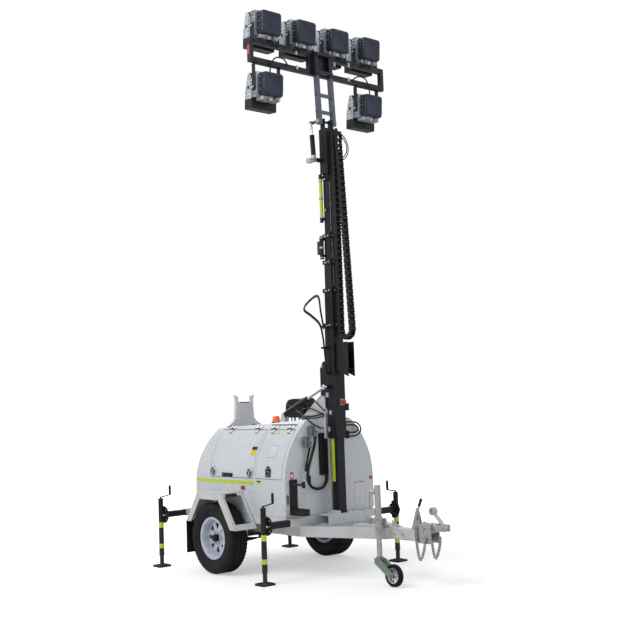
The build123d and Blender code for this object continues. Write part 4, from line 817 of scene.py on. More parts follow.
front = bmesh.new()
rim = [(FRONT_X, -HALF_W, SILL), (FRONT_X, -HALF_W, 0.74), (FRONT_X, -HALF_W, BEND_Z)]
for k in range(1, CROWN_STEPS + 1):
    level = crown_level(k / CROWN_STEPS)
    rim.append((FRONT_X, -side_y(level), level))
rim += [(FRONT_X, 0, ROOF_Z)] + [(x, -y, z) for x, y, z in rim[::-1]]
tube(front, rim, RIM_BEAD_R, F_CANOPY, sides=8, steps=2)
front_plate(front, (0.310, 0.460), (0.607, 0.858), 0.0008, F_LINE)
front_plate(front, (0.313, 0.457), (0.610, 0.855), 0.0012, F_WHITE)
front_plate(front, (0.318, 0.452), (0.838, 0.846), 0.0015, F_RED)
for k in range(6):
    low_z = 0.628 + 0.034 * k
    front_plate(front, (0.322, 0.448), (low_z, low_z + 0.002), 0.0015, F_LINE)
front_plate(front, (-0.506, -0.466), (0.934, 1.002), 0.0010, F_RED)
front_plate(front, (-0.500, -0.472), (0.948, 0.984), 0.0014, F_WHITE)
front_plate(front, (0.098, 0.122), (1.392, 1.428), 0.0010, F_LINE)
VENT_Y = -0.5455
VENT_Z = 0.744
oval = [(FRONT_X - 0.001, VENT_Y + 0.017 * cos(2 * pi * k / 28), VENT_Z + 0.055 * sin(2 * pi * k / 28))
        for k in range(28)]
plate(front, oval, (0.006, 0, 0), F_LINE)
for k in range(5):
    slat_z = VENT_Z - 0.034 + 0.017 * k
    block(front, (FRONT_X, VENT_Y - 0.010, slat_z - 0.0045),
          (FRONT_X + 0.0075, VENT_Y + 0.010, slat_z + 0.0045), F_BLACK)
turned(front, (FRONT_X, 0.540, 0.879), (1, 0, 0), [(0.020, -0.001), (0.020, 0.004), (0.017, 0.008),
                                                   (0.006, 0.0115)], F_LENS)
for side in (-1, 1):
    spots = [(side * 0.200, z) for z in (0.610, 0.720, 0.860)]
    for level in map(crown_level, (0.15, 0.4, 0.65, 0.9)):
        spots.append((side * (side_y(level) - 0.022), level))
    for y, z in spots:
        turned(front, (FRONT_X, y, z), (1, 0, 0), SCREW, F_SILVER, 14)
make_piece("front_face_fittings", front, FRONT_FINISHES, "chassis")

# %% [markdown]
# The cooling air leaves at the rear through a pressed louvre, which is a frame with slats that
# lean down so that rain runs off them. A black sheet behind the slats is painted shade for the dark
# opening.

# %% Rear louvre and roof fittings
REAR_FINISHES = [canopy_white, seal_black, zinc_bolt]
R_WHITE, R_RUBBER_AND_SHADE, R_ZINC = range(3)
FRAME_Y = 0.360
FRAME_IN = 0.348
FRAME_Z = (0.606, 0.748)
rear = bmesh.new()
for side in (-1, 1):
    side_block(rear, side, (REAR_X - 0.008, REAR_X + 0.002), (FRAME_IN, FRAME_Y), FRAME_Z, R_WHITE)
for z in ((FRAME_Z[0], 0.614), (0.740, FRAME_Z[1])):
    block(rear, (REAR_X - 0.008, -FRAME_Y, z[0]), (REAR_X + 0.002, FRAME_Y, z[1]), R_WHITE)
for k in range(7):
    low_z = 0.617 + 0.0175 * k
    slat = [(REAR_X + x, -FRAME_IN, low_z + up)
            for x, up in ((0.001, 0.010), (-0.011, 0), (-0.011, 0.003), (0.001, 0.014))]
    plate(rear, slat, (0, 2 * FRAME_IN, 0), R_WHITE)
# A black sheet behind the slats: painted shade standing for the dark inside of the opening.
block(rear, (REAR_X - 0.0005, -FRAME_IN, 0.614), (REAR_X + 0.001, FRAME_IN, 0.740), R_RUBBER_AND_SHADE)
for side in (-1, 1):
    side_block(rear, side, (-0.5215, -0.4785), (0, 0.062), (1.670, 1.680), R_RUBBER_AND_SHADE)
    for z in (1.345, 1.425):
        hex_bolt(rear, (-0.480, side * 0.225, z), (1, 0, 0), 0.013, R_ZINC)
turned(rear, (-0.250, -0.060, 1.420), (0, 0, 1), [(0.028, 0.0), (0.028, 0.016), (0.024, 0.022),
                                                  (0.008, 0.026)], R_RUBBER_AND_SHADE)
make_piece("rear_louvre_and_rest_pad", rear, REAR_FINISHES, "chassis", soften=EDGE_R)

# %% [markdown]
# A beacon is a black foot with a ribbed orange cap. The ribs are rings in the turned profile.
# The marker and tail lamps are soft-edged lenses in black housings. Together they stand for the
# plain lamps of the CAD model.

# %% Beacon, side markers and tail lamps
SIGNAL_FINISHES = [black_plastic, lens_red, lens_orange]
S_BLACK, S_RED, S_ORANGE = range(3)
BEACON = (-0.020, 0.060, 1.4375)
UP = (0, 0, 1)
lamps = bmesh.new()
turned(lamps, BEACON, UP, [(0.053, -0.006), (0.053, 0.013), (0.050, 0.020), (0.046, 0.022)], S_BLACK)
cap = [(0.0455, 0.021)]
for k in range(7):
    low_z = 0.026 + 0.007 * k
    radius = 0.0455 - 0.0011 * k
    cap += [(radius, low_z), (radius - 0.0014, low_z + 0.0045)]
cap += [(0.036, 0.079), (0.030, 0.0845), (0.016, 0.0875), (0.004, 0.0880)]
turned(lamps, BEACON, UP, cap, S_ORANGE)
for side in (-1, 1):
    side_block(lamps, side, (0.186, 0.244), (0.569, 0.5745), (0.816, 0.854), S_BLACK)
    side_block(lamps, side, (0.190, 0.240), (0.574, 0.5838), (0.820, 0.850), S_RED)
    middle = side * 0.380
    block(lamps, (-0.916, middle - 0.060, 0.410), (-0.900, middle + 0.060, 0.480), S_BLACK)
    for low_y, high_y, finish in ((-0.058, 0.018, S_RED), (0.021, 0.058, S_ORANGE)):
        block(lamps, (-0.933, middle + low_y, 0.413), (-0.915, middle + high_y, 0.477), finish)
make_piece("beacon_and_marker_lamps", lamps, SIGNAL_FINISHES, "chassis", soften=0.003,
           replaced="signal_lamps")

# %% [markdown]
# ## Wheels
# The tyre is one closed profile turned about the axle: bead, rim guard, bulging sidewall,
# shoulder, and a tread with three grooves. Separate lugs cut the shoulders, because that row of
# notches is what reads as a tyre from a distance.

# %% Tyres
WHEEL_Y = 0.720
WHEEL_R = 0.350
BEAD = [(0.1950, 0.0700), (0.1950, -0.0700)]
TREAD_HALF = [(0.2095, 0.0790), (0.2170, 0.0885), (0.2260, 0.0950), (0.2310, 0.0990), (0.2370, 0.0992),
              (0.2410, 0.0975), (0.2560, 0.1035), (0.2800, 0.1068), (0.2990, 0.1060), (0.3020, 0.1072),
              (0.3080, 0.1066), (0.3110, 0.1040), (0.3250, 0.0985), (0.3350, 0.0930), (0.3420, 0.0820),
              (0.3450, 0.0760), (0.3465, 0.0560), (0.3380, 0.0545), (0.3380, 0.0475), (0.3475, 0.0460),
              (0.3485, 0.0130), (0.3395, 0.0115), (0.3395, 0.0)]
TYRE_SIDES = 108
LUGS = 54
LUG_PITCH = 2 * pi / LUGS
LUG_SHARE = 0.62
# Each step of a lug: its distance from the tread's middle, its slant, and its two radii.
LUG_STEPS = ((0.057, 0.35, 0.340, 0.3492), (0.078, 0.105, 0.338, 0.3484), (0.094, 0, 0.326, 0.3385))


def wheel_point(side, radius, angle, width):
    """A point on a wheel from its radius, its angle and its distance from the wheel's middle."""
    return (radius * cos(angle), side * WHEEL_Y + width, WHEEL_R + radius * sin(angle))


for side, side_name in ((-1, "right"), (1, "left")):
    tyre = bmesh.new()
    profile = [(r, -w) for r, w in TREAD_HALF] + TREAD_HALF[-2::-1] + BEAD
    turned(tyre, (0, side * WHEEL_Y, WHEEL_R), (0, 1, 0), profile, sides=TYRE_SIDES, joined=True)
    for k in range(LUGS):
        for edge in (-1, 1):
            start = LUG_PITCH * (k + 0.5 * (edge > 0))
            stop = start + LUG_PITCH * LUG_SHARE
            rings = []
            for width, slant, low_r, high_r in LUG_STEPS:
                shift = slant * LUG_PITCH
                corners = ((low_r, start), (low_r, stop), (high_r, stop), (high_r, start))
                rings.append([wheel_point(side, r, angle + shift, edge * width) for r, angle in corners])
            loft(tyre, rings)
    make_piece(f"tyre_tread_{side_name}", tyre, [road_rubber], f"wheel_{side_name}",
               replaced=f"tyre_{side_name}")

# %% [markdown]
# Behind the wheel's windows the brake drum shows as a dark, rough casting. Plated nuts, a
# pressed dust cap and the valve finish the wheel.

# %% Brake drums, nuts and caps
TRIM_FINISHES = [engine_grey, zinc_bolt, black_plastic]
W_CAST, W_ZINC, W_BLACK = range(3)
DRUM = [(0.060, -0.052), (0.142, -0.052), (0.148, -0.046), (0.148, -0.012), (0.142, -0.004), (0.060, -0.004)]
HUB_CAP = [(0.0360, 0.022), (0.0350, 0.060), (0.0330, 0.0700), (0.0270, 0.0740), (0.0040, 0.0755)]
NUTS = 6
NUT_R = 0.0120
for side, side_name in ((-1, "right"), (1, "left")):
    trim = bmesh.new()
    middle = (0, side * WHEEL_Y, WHEEL_R)
    outward = Vector((0, side, 0))
    turned(trim, middle, outward, DRUM, W_CAST, 64)
    turned(trim, middle, outward, HUB_CAP, W_BLACK)
    for k in range(NUTS):
        stud = Vector(wheel_point(side, 0.057, 2 * pi * k / NUTS, side * 0.0215))
        loft(trim, [circle(stud + outward * far, outward, radius, 6)
                    for far, radius in ((0, NUT_R), (0.017, NUT_R), (0.0208, 0.0070))], W_ZINC)
    valve = Vector(wheel_point(side, 0.158, 0.9, side * 0.010))
    bar(trim, valve, valve + outward * 0.030, 0.0042, W_BLACK, 12, 0.0036)
    make_piece(f"wheel_trim_{side_name}", trim, TRIM_FINISHES, f"wheel_{side_name}")

# %% [markdown]
# The springs hang on the axle by U-bolts over a clamp plate. The mudguards are bolted on their
# brackets, and a clamp strip holds each rubber flap.

# %% Spring clamps and mudguard bolts
C_BLACK, C_ZINC = range(2)
U_BOLT_R = 0.005
GUARD_Z = 0.800
down_slope = Vector((0.5547, 0, -0.8320))
off_slope = Vector((0.8320, 0, 0.5547))
running = bmesh.new()
for side in (-1, 1):
    side_block(running, side, (-0.055, 0.055), (0.398, 0.462), (0.284, 0.293), C_BLACK)
    for x in (-0.036, 0.036):
        for y in (side * 0.404, side * 0.456):
            bar(running, (x, y, 0.276), (x, y, 0.382), U_BOLT_R, C_ZINC, 12)
            hex_bolt(running, (x, y, 0.284), (0, 0, -1), 0.013, C_ZINC)
        bar(running, (x, side * 0.404, 0.380), (x, side * 0.456, 0.380), U_BOLT_R, C_ZINC, 12)
    for x in (-0.120, 0.120):
        for y in (side * 0.620, side * 0.800):
            hex_bolt(running, (x, y, GUARD_Z), UP, 0.012, C_ZINC)
    side_block(running, side, (-0.4165, -0.4125), (0.596, 0.835), (0.470, 0.500), C_ZINC)
    for k in range(4):
        hex_bolt(running, (-0.4160, side * (0.620 + 0.065 * k), 0.485), (-1, 0, 0), 0.011, C_ZINC)
    guard_edge = Vector((0.200, side * 0.655, GUARD_Z))
    step_pad = [guard_edge + down_slope * a + off_slope * b
                for a, b in ((0.014, -0.001), (0.050, -0.001), (0.048, 0.004), (0.016, 0.004))]
    plate(running, step_pad, (0, side * 0.135, 0), C_BLACK)
make_piece("spring_clamps_and_guard_bolts", running, [leg_black, zinc_bolt], "chassis")

# %% [markdown]
# ## The lamp head
# All six floodlights are the same casting, so one is built round its own origin and copied to
# the six places. The rear cover is a moulding with soft corners and a shallow panel, the housing
# has cooling fins, and the hood's cheeks are silver sheet whose punched holes are painted as
# black discs of shade.

# %% One floodlight
COVER, DARK, SHEET, BEIGE, GLASS, BOLT = range(6)
front_glass = coated("toughened front glass", "#4A5560", "#3C464F", 60, (0.04, 0.08), 12, 0.01, coat=1.0)
LAMP_FINISHES = [cover_blue, black_plastic, cast_silver, cast_beige, front_glass, zinc_bolt]


def soft_frame(x, half_y, z_low, z_high, corner):
    """A rectangle with round corners, square to the lamp's axis."""
    ring = []
    for quarter, (sy, z_edge) in enumerate(((1, z_high), (-1, z_high), (-1, z_low), (1, z_low))):
        middle_y = sy * (half_y - corner)
        middle_z = z_edge - corner if z_edge == z_high else z_edge + corner
        for k in range(6):
            angle = pi / 2 * (quarter + k / 5)
            ring.append((x, middle_y + corner * cos(angle), middle_z + corner * sin(angle)))
    return ring


lamp = bmesh.new()
COVER_STEPS = [(0.029, 0.0), (0.090, 0.0), (0.104, 0.002), (0.112, 0.006), (0.117, 0.014), (0.118, 0.020),
               (0.118, 0.032), (0.1155, 0.036)]
loft(lamp, [soft_frame(x, 0.1175 - inset, -0.114 + inset, 0.114 - inset, 0.030 - inset * 0.5)
            for x, inset in COVER_STEPS], COVER)
loft(lamp, [soft_frame(x, 0.1195, -0.116, 0.116, 0.031) for x in (0.036, 0.046)], DARK)
for z in (-0.062, 0.000, 0.062):
    block(lamp, (0.050, -0.1235, z - 0.018), (0.082, -0.116, z + 0.018), DARK)
    bar(lamp, (0.066, -0.1235, z), (0.066, -0.1265, z), 0.005, BOLT, 12)
for y in (-0.088, 0.088):
    for z in (-0.086, 0.086):
        bar(lamp, (0.116, y, z), (0.1185, y, z), 0.0045, DARK, 12)
for k in range(5):
    x = -0.032 + 0.013 * k
    loft(lamp, [soft_frame(x + far, 0.1485, -0.122, 0.1210, 0.010) for far in (0.0, 0.0035)], SHEET)
for y in (-0.055, 0.055):
    turned(lamp, (0.020, y, -0.135), (1, 0, 0), [(0.030, 0.0), (0.030, 0.052), (0.027, 0.066), (0.017, 0.076),
                                                (0.005, 0.079)], BEIGE, 28)
    block(lamp, (0.020, y - 0.034, -0.120), (0.072, y + 0.034, -0.114), BEIGE)
block(lamp, (-0.1405, -0.128, -0.214), (-0.1385, 0.128, -0.071), GLASS)
for z in (-0.214, -0.078):
    block(lamp, (-0.1435, -0.129, z), (-0.1385, 0.129, z + 0.007), DARK)
CHEEK_Y = 0.1501
HOLE_Y = (0.150, 0.1519)
cheek = [(-0.148, -0.130), (-0.042, -0.130), (-0.042, 0.058), (-0.071, 0.116), (-0.109, 0.116),
         (-0.148, -0.058)]
for side in (-1, 1):
    plate(lamp, [(x, side * CHEEK_Y, z) for x, z in cheek], (0, side * 0.0014, 0), SHEET)
    # Each punched hole is a black disc on the sheet: painted shade where the hole shows the dark inside.
    painted_hole_shade = [(-0.095, -0.020, 0.0165, 24)]
    for k in range(6):
        z = -0.108 + 0.034 * k
        painted_hole_shade += [(-0.062, z, 0.0065, 14), (-0.128 + 0.005 * k, z, 0.0055, 14)]
    for x, z, radius, sides in painted_hole_shade:
        bar(lamp, (x, side * HOLE_Y[0], z), (x, side * HOLE_Y[1], z), radius, DARK, sides)
    hex_bolt(lamp, (-0.005, side * 0.162, -0.030), (0, side, 0), 0.016, BOLT)
    side_block(lamp, side, (-0.1435, -0.1385), (0.122, 0.129), (-0.214, -0.071), DARK)
one_lamp = bpy.data.meshes.new("one floodlight")
lamp.to_mesh(one_lamp)
lamp.free()
print("one floodlight:", len(one_lamp.polygons), "faces")

# %% [markdown]
# Four floodlights stand on the upper bar and two hang below the ends of the lower one. All six
# are clamped at the same small tilt, so each copy is tipped before it is moved to its place.

# %% Six floodlights
LAMP_X = 0.910
LAMP_PITCH = 4
LAMP_PLACES = [(y, 5.300) for y in (-0.660, -0.220, 0.220, 0.660)] + [(y, 4.700) for y in (-0.660, 0.660)]
all_lamps = bmesh.new()
for lamp_y, lamp_z in LAMP_PLACES:
    there = one_lamp.copy()
    tipped = Matrix.Rotation(radians(LAMP_PITCH), 4, "Y")
    there.transform(Matrix.Translation((LAMP_X, lamp_y, lamp_z)) @ tipped)
    all_lamps.from_mesh(there)
    bpy.data.meshes.remove(there)
bpy.data.meshes.remove(one_lamp)
make_piece("floodlights", all_lamps, LAMP_FINISHES, "head", replaced="lamp_covers")

# %% [markdown]
# Zinc saddle clips hold the leads on the bars, and bolts with dark heads close the bar ends. A
# red reflector sits on the end that faces the road, and the two posts end in pivot nuts.

# %% Clips, bolts and pivot nuts on the head
H_ZINC, H_BLACK, H_RED = range(3)
BAR_FRONT = 0.950
CLIPS = [(-0.314, 5.090), (-0.045, 5.062), (0.187, 5.062), (0.384, 5.090), (-0.307, 4.940), (0.378, 4.940)]
head_trim = bmesh.new()
for y, z in CLIPS:
    block(head_trim, (BAR_FRONT - 0.002, y - 0.014, z - 0.021),
          (BAR_FRONT + 0.0025, y + 0.014, z + 0.021), H_ZINC)
    bar(head_trim, (BAR_FRONT + 0.004, y, z - 0.018), (BAR_FRONT + 0.004, y, z + 0.018), 0.008, H_ZINC)
    hex_bolt(head_trim, (BAR_FRONT + 0.002, y - 0.010, z), (1, 0, 0), 0.008, H_ZINC)
for side in (-1, 1):
    for z in (5.110, 4.925):
        for y in (0.450, 0.675, 0.830):
            hex_bolt(head_trim, (BAR_FRONT, side * y, z), (1, 0, 0), 0.015, H_BLACK)
    side_block(head_trim, side, (0.905, 0.945), (0.876, 0.884), (4.972, 5.062), H_RED)
    hex_bolt(head_trim, (1.0075, side * 0.111, 4.420), (0, side, 0), 0.030, H_ZINC)
    for z in (4.520, 4.690):
        hex_bolt(head_trim, (0.993, side * 0.111, z), (0, side, 0), 0.013, H_BLACK)
make_piece("head_clips_and_bolts", head_trim, [zinc_bolt, leg_black, lens_red], "head")

# %% [markdown]
# ## The mast
# Each section slides in the one below through a collar. Nylon wear pads sit in the collars and
# are set by bolts, so every collar shows a few zinc heads on each face. Each section's fittings
# ride with it.

# %% Collars, pads and bolts
MAST_X = 1.0075
MAST_FINISHES = [zinc_bolt, black_plastic, tape_soft, knob_red, box_maroon, cast_silver, plate_line,
                 hose_black]
ZINC, NYLON, TAPE, KNOB, MAROON, CLAMP, GREY, LEAD = range(8)
COLLARS = {"mast_base": (0.0745, 2.400), "mast_2": (0.0675, 2.740), "mast_3": (0.0615, 3.020),
           "mast_4": (0.0555, 3.280)}
mast_trims = {name: bmesh.new() for name in (*COLLARS, "mast_5")}
for name, (half, z) in COLLARS.items():
    mesh = mast_trims[name]
    for across in (-0.026, 0.026):
        for way in (-1, 1):
            hex_bolt(mesh, (MAST_X + way * half, across, z), (way, 0, 0), 0.014, ZINC)
            hex_bolt(mesh, (MAST_X + across, way * half, z), (0, way, 0), 0.014, ZINC)
    block(mesh, (MAST_X - 0.020, -half - 0.009, z + 0.004), (MAST_X + 0.012, -half + 0.001, z + 0.018), NYLON)
    block(mesh, (MAST_X - 0.012, -half - 0.012, z - 0.015), (MAST_X + 0.002, -half + 0.001, z + 0.003), ZINC)
for z in (3.845, 3.535):
    for half_x, front_y, half_z, finish in ((0.016, -0.0500, 0.014, NYLON), (0.008, -0.0530, 0.008, ZINC)):
        block(mast_trims["mast_5"], (MAST_X - half_x, front_y, z - half_z),
              (MAST_X + half_x, -0.037, z + half_z), finish)
print("collars dressed:", len(COLLARS))

# %% [markdown]
# The round guide beside the top section is wrapped in the same yellow-green tape, faded by the
# sun, and silver clamps hold it. The short tube below it belongs to the next section down.

# %% Tapes, clamps and small boxes on the mast
GUIDE_5 = (0.948, -0.052)
GUIDE_4 = (0.943, -0.060)
# Each pale strip: its section, how far its face is from the mast's middle, and its two heights.
STRIPS = (("mast_5", 0.0375, 3.325, 3.820), ("mast_4", 0.0435, 3.050, 3.250),
          ("mast_3", 0.0495, 2.780, 2.990))
STOP_KNOB = [(0.012, 0.0), (0.012, 0.014), (0.026, 0.018), (0.028, 0.024), (0.028, 0.032), (0.023, 0.038),
             (0.008, 0.0395)]


def guide_ring(name, guide, low_z, high_z, radius, finish):
    """A sleeve round one of the upright guides."""
    bar(mast_trims[name], (*guide, low_z), (*guide, high_z), radius, finish, 28)


for low_z, high_z in ((3.485, 3.645), (3.675, 3.835)):
    guide_ring("mast_5", GUIDE_5, low_z, high_z, 0.0186, TAPE)
for z in (3.478, 3.660, 3.842):
    guide_ring("mast_5", GUIDE_5, z - 0.011, z + 0.011, 0.0212, CLAMP)
for z in (3.075, 3.170, 3.266):
    guide_ring("mast_4", GUIDE_4, z - 0.009, z + 0.009, 0.0228, CLAMP)
for name, face, low_z, high_z in STRIPS:
    block(mast_trims[name], (MAST_X + face - 0.0005, -0.026, low_z),
          (MAST_X + face + 0.0006, -0.019, high_z), CLAMP)
block(mast_trims["mast_4"], (0.889, -0.074, 3.105), (0.924, -0.046, 3.235), MAROON)
base_trim = mast_trims["mast_base"]
turned(base_trim, (1.069, 0.019, 1.648), (1, 0, 0), STOP_KNOB, KNOB, 36)
BASE_BOXES = [(TAPE, (0.966, -0.0458, 0.885), (1.009, -0.0445, 1.298)),
              (CLAMP, (1.066, -0.010, 1.618), (1.0715, 0.048, 1.678)),
              (NYLON, (1.034, 0.0615, 1.564), (1.072, 0.106, 1.634)),
              (CLAMP, (0.946, -0.082, 1.700), (0.981, -0.0615, 1.746)),
              (CLAMP, (0.972, -0.0665, 1.532), (1.008, -0.0615, 1.570)),
              (CLAMP, (0.952, -0.0665, 1.366), (0.976, -0.0615, 1.410)),
              (GREY, (1.069, 0.031, 2.142), (1.0712, 0.056, 2.232))]
for finish, low, high in BASE_BOXES:
    block(base_trim, low, high, finish)
for y, z in ((-0.066, 1.372), (-0.066, 1.402), (-0.082, 1.712), (-0.082, 1.735)):
    hex_bolt(base_trim, (0.964, y, z), (0, -1, 0), 0.009, ZINC)
cheek_bolts = ((0.880, 1.610, 0.016), (0.900, 1.660, 0.032), (0.900, 1.800, 0.016), (0.880, 2.000, 0.016))
for side in (-1, 1):
    for x, z, across in cheek_bolts:
        hex_bolt(base_trim, (x, side * 0.056, z), (0, side, 0), across, ZINC)
print("boxes on the base section:", len(BASE_BOXES))

# %% [markdown]
# Two power leads bow out beside the base section, as they need slack for the mast to lie down.
# Both ends are clamped on the base section, so the bow keeps its shape and rides with it.

# %% The bowed pair of leads
BOW = ((0.966, -0.090, 2.376), (0.950, -0.108, 2.540), (0.930, -0.118, 2.690), (0.825, -0.118, 2.676),
       (0.708, -0.118, 2.590), (0.824, -0.118, 2.508), (0.932, -0.112, 2.420), (0.956, -0.096, 2.290),
       (0.974, -0.090, 2.080), (0.982, -0.084, 1.930))
LEAD_R = 0.0068
SECOND_LEAD = (0.014, -0.016, -0.016)
for shift in ((0, 0, 0), SECOND_LEAD):
    tube(base_trim, [Vector(point) + Vector(shift) for point in BOW], LEAD_R, LEAD, 12, 7)
for x, z in ((0.966, 2.384), (0.964, 2.180), (0.980, 1.930)):
    block(base_trim, (x - 0.016, -0.122, z - 0.010), (x + 0.030, -0.0615, z + 0.010), NYLON)
for name, mesh in mast_trims.items():
    make_piece(f"{name}_fittings", mesh, MAST_FINISHES, name)

# %% [markdown]
# The energy chain is a row of nylon links with pins. Every link is a pair of waisted side plates
# under two crossbars. A link's place comes from the same path as the plain chain in the model:
# down from the top, round a half circle and up again.

# %% Energy chain
C_NYLON, C_LEAD = range(2)
CHAIN_X = 1.117
LOOP_Z = 2.345
LOOP_R = 0.080
LINK = 0.060
CHAIN_TOP = 4.340
CHAIN_LEAN = (1.168 - CHAIN_X - 2 * LOOP_R) / (CHAIN_TOP - LOOP_Z)
LINKS = 70
straight_run = CHAIN_TOP - LOOP_Z
half_turn = pi * LOOP_R


def chain_place(far):
    """The middle of the chain at a distance along it, and the direction out of the loop."""
    if far <= straight_run:
        return Vector((CHAIN_X, 0, CHAIN_TOP - far)), Vector((1, 0, 0))
    if far <= straight_run + half_turn:
        angle = (far - straight_run) / LOOP_R
        way = Vector((-cos(angle), 0, -sin(angle)))
        return Vector((CHAIN_X + LOOP_R, 0, LOOP_Z)) + way * LOOP_R, -way
    rise = far - straight_run - half_turn
    return Vector((CHAIN_X + 2 * LOOP_R + CHAIN_LEAN * rise, 0, LOOP_Z + rise)), Vector((-1, 0, 0))


PIN_R = 0.0085
BAR_SECTION = ((-0.011, -0.003), (0.011, -0.003), (0.011, 0.003), (-0.011, 0.003))
chain = bmesh.new()
for k in range(LINKS):
    start, start_way = chain_place(k * LINK + 0.002)
    stop, stop_way = chain_place((k + 1) * LINK - 0.002)
    middle, middle_way = chain_place((k + 0.5) * LINK)
    near, far = start + (stop - start) * 0.2, start + (stop - start) * 0.8
    edge = [(start, start_way * 0.0150), (near, start_way * 0.0212), (middle, middle_way * 0.0180),
            (far, stop_way * 0.0212), (stop, stop_way * 0.0150)]
    outline = [spot + half for spot, half in edge] + [spot - half for spot, half in edge[::-1]]
    for side in (-1, 1):
        outer_y = side * 0.0298
        inner_y = side * (0.0245 if k % 2 else 0.0225)
        plate(chain, [(point.x, inner_y, point.z) for point in outline], (0, outer_y - inner_y, 0), C_NYLON)
        bar(chain, (start.x, side * 0.020, start.z), (start.x, side * 0.0300, start.z), PIN_R, C_NYLON, 12)
    along = (stop - start).normalized()
    for way in (-1, 1):
        spot = middle + middle_way * way * 0.0165
        corners = [spot + along * a + middle_way * b for a, b in BAR_SECTION]
        loft(chain, [[(corner.x, y, corner.z) for corner in corners] for y in (-0.0295, 0.0295)], C_NYLON)
lead_path = [chain_place(k * LINK)[0] for k in range(1, LINKS, 3)]
for y in (-0.013, 0.001, 0.014):
    tube(chain, [(point.x, y, point.z) for point in lead_path], 0.0062, C_LEAD, 8, 3)
make_piece("energy_chain_links", chain, [black_plastic, hose_black], "mast_3",
           replaced="energy_chain")

# %% [markdown]
# ## Stabiliser legs
# Each leg carries two bands of tape so that nobody walks into it. The swivel disc has four
# bolts, a spring pin locks it, and the screw turns in a cap at the top.

# %% Leg fittings
LEG_FINISHES = [leg_black, tape_soft, zinc_bolt, black_plastic]
L_BLACK, L_TAPE, L_ZINC, L_GRIP = range(4)
LEG_Y = 0.860
LEG_R = 0.0275
SWIVEL_Z = 0.5323
SWIVEL_BOLT_R = 0.068
LOCK_PIN = [(0.010, 0.0), (0.010, 0.006), (0.004, 0.008)]
CRANK_GRIP = [(0.0115, 0.004), (0.0130, 0.020), (0.0130, 0.080), (0.0110, 0.096), (0.004, 0.0965)]
FOOT_HALF = 0.0675
FOOT_LIP = 0.006
GUSSET = (0.0235, 0.054)


def dress_leg(leg, leg_x, side):
    """Tape bands, collars, swivel bolts, the lock pin and the crank's grip."""
    leg_y = side * LEG_Y
    for low_z, high_z in ((0.402, 0.457), (0.191, 0.237)):
        bar(leg, (leg_x, leg_y, low_z), (leg_x, leg_y, high_z), 0.0265, L_TAPE, 32)
    turned(leg, (leg_x, leg_y, 0.1155), UP, [(LEG_R, 0.0), (LEG_R, 0.010), (0.0262, 0.012)], L_BLACK, 32)
    turned(leg, (leg_x, leg_y, 0.694), UP, [(LEG_R, 0.0), (LEG_R, 0.006), (0.022, 0.010), (0.011, 0.0105)],
           L_BLACK, 32)
    for k in range(4):
        angle = pi / 4 + k * pi / 2
        spot = (leg_x + SWIVEL_BOLT_R * cos(angle), side * 0.8262, SWIVEL_Z + SWIVEL_BOLT_R * sin(angle))
        hex_bolt(leg, spot, (0, side, 0), 0.011, L_ZINC)
    pin_x = leg_x + 0.052
    bar(leg, (pin_x, side * 0.812, SWIVEL_Z), (pin_x, side * 0.858, SWIVEL_Z), 0.0055, L_ZINC, 14)
    turned(leg, (pin_x, side * 0.858, SWIVEL_Z), (0, side, 0), LOCK_PIN, L_ZINC, 20)
    turned(leg, (leg_x, leg_y - side * 0.115, 0.732), UP, CRANK_GRIP, L_GRIP, 24)


def dress_foot(foot, leg_x, leg_y):
    """A weld ring, four gussets and a lip round the foot plate."""
    turned(foot, (leg_x, leg_y, 0.0075), UP, [(0.027, 0.0), (0.0265, 0.003), (0.0215, 0.0085)], L_BLACK, 32)
    for x in (-1, 1):
        for y in (-1, 1):
            corners = ((GUSSET[0], 0.0075), (GUSSET[1], 0.0075), (GUSSET[0], 0.030))
            plate(foot, [(leg_x + x * far, leg_y + y * far, z) for far, z in corners],
                  (0.0025, -0.0025 * x * y, 0), L_BLACK)
    whole = (-FOOT_HALF, FOOT_HALF)
    for way in (-1, 1):
        lip = sorted((way * FOOT_HALF, way * (FOOT_HALF - FOOT_LIP)))
        for x, y in ((lip, whole), (whole, lip)):
            block(foot, (leg_x + x[0], leg_y + y[0], 0.0005), (leg_x + x[1], leg_y + y[1], 0.020), L_BLACK)


for leg_x, end_name in ((-0.850, "rear"), (0.905, "front")):
    for side, side_name in ((-1, "right"), (1, "left")):
        corner_name = f"{end_name}_{side_name}"
        leg = bmesh.new()
        dress_leg(leg, leg_x, side)
        make_piece(f"leg_fittings_{corner_name}", leg, LEG_FINISHES, f"leg_{corner_name}")
        foot = bmesh.new()
        dress_foot(foot, leg_x, side * LEG_Y)
        make_piece(f"foot_fittings_{corner_name}", foot, [leg_black], f"foot_{corner_name}")

# %% [markdown]
# ## Drawbar and jockey wheel
# The jockey wheel has a solid rubber tyre on a pressed rim with spokes. The tyre is one closed
# profile with a flat tread, and each spoke is a tapered bar.

# %% Jockey wheel
J_RUBBER, J_SILVER = range(2)
JOCKEY = Vector((1.900, -0.180, 0.100))
JOCKEY_AXLE = (0, 1, 0)
SPOKES = 7
TYRE_HALF = [(0.0690, 0.0190), (0.0730, 0.0225), (0.0840, 0.0246), (0.0930, 0.0235), (0.0980, 0.0180),
             (0.0996, 0.0100), (0.0996, 0.0045), (0.0970, 0.0035)]
RIM = [(0.0580, -0.0165), (0.0695, -0.0195), (0.0695, 0.0195), (0.0580, 0.0165)]
HUB = [(0.0120, -0.0240), (0.0210, -0.0235), (0.0220, -0.0200), (0.0220, 0.0200), (0.0210, 0.0235),
       (0.0120, 0.0240)]
jockey = bmesh.new()
tyre_loop = [(r, -w) for r, w in TYRE_HALF] + [(0.0970, 0.0)] + TYRE_HALF[::-1]
turned(jockey, JOCKEY, JOCKEY_AXLE, tyre_loop, J_RUBBER, 64, joined=True)
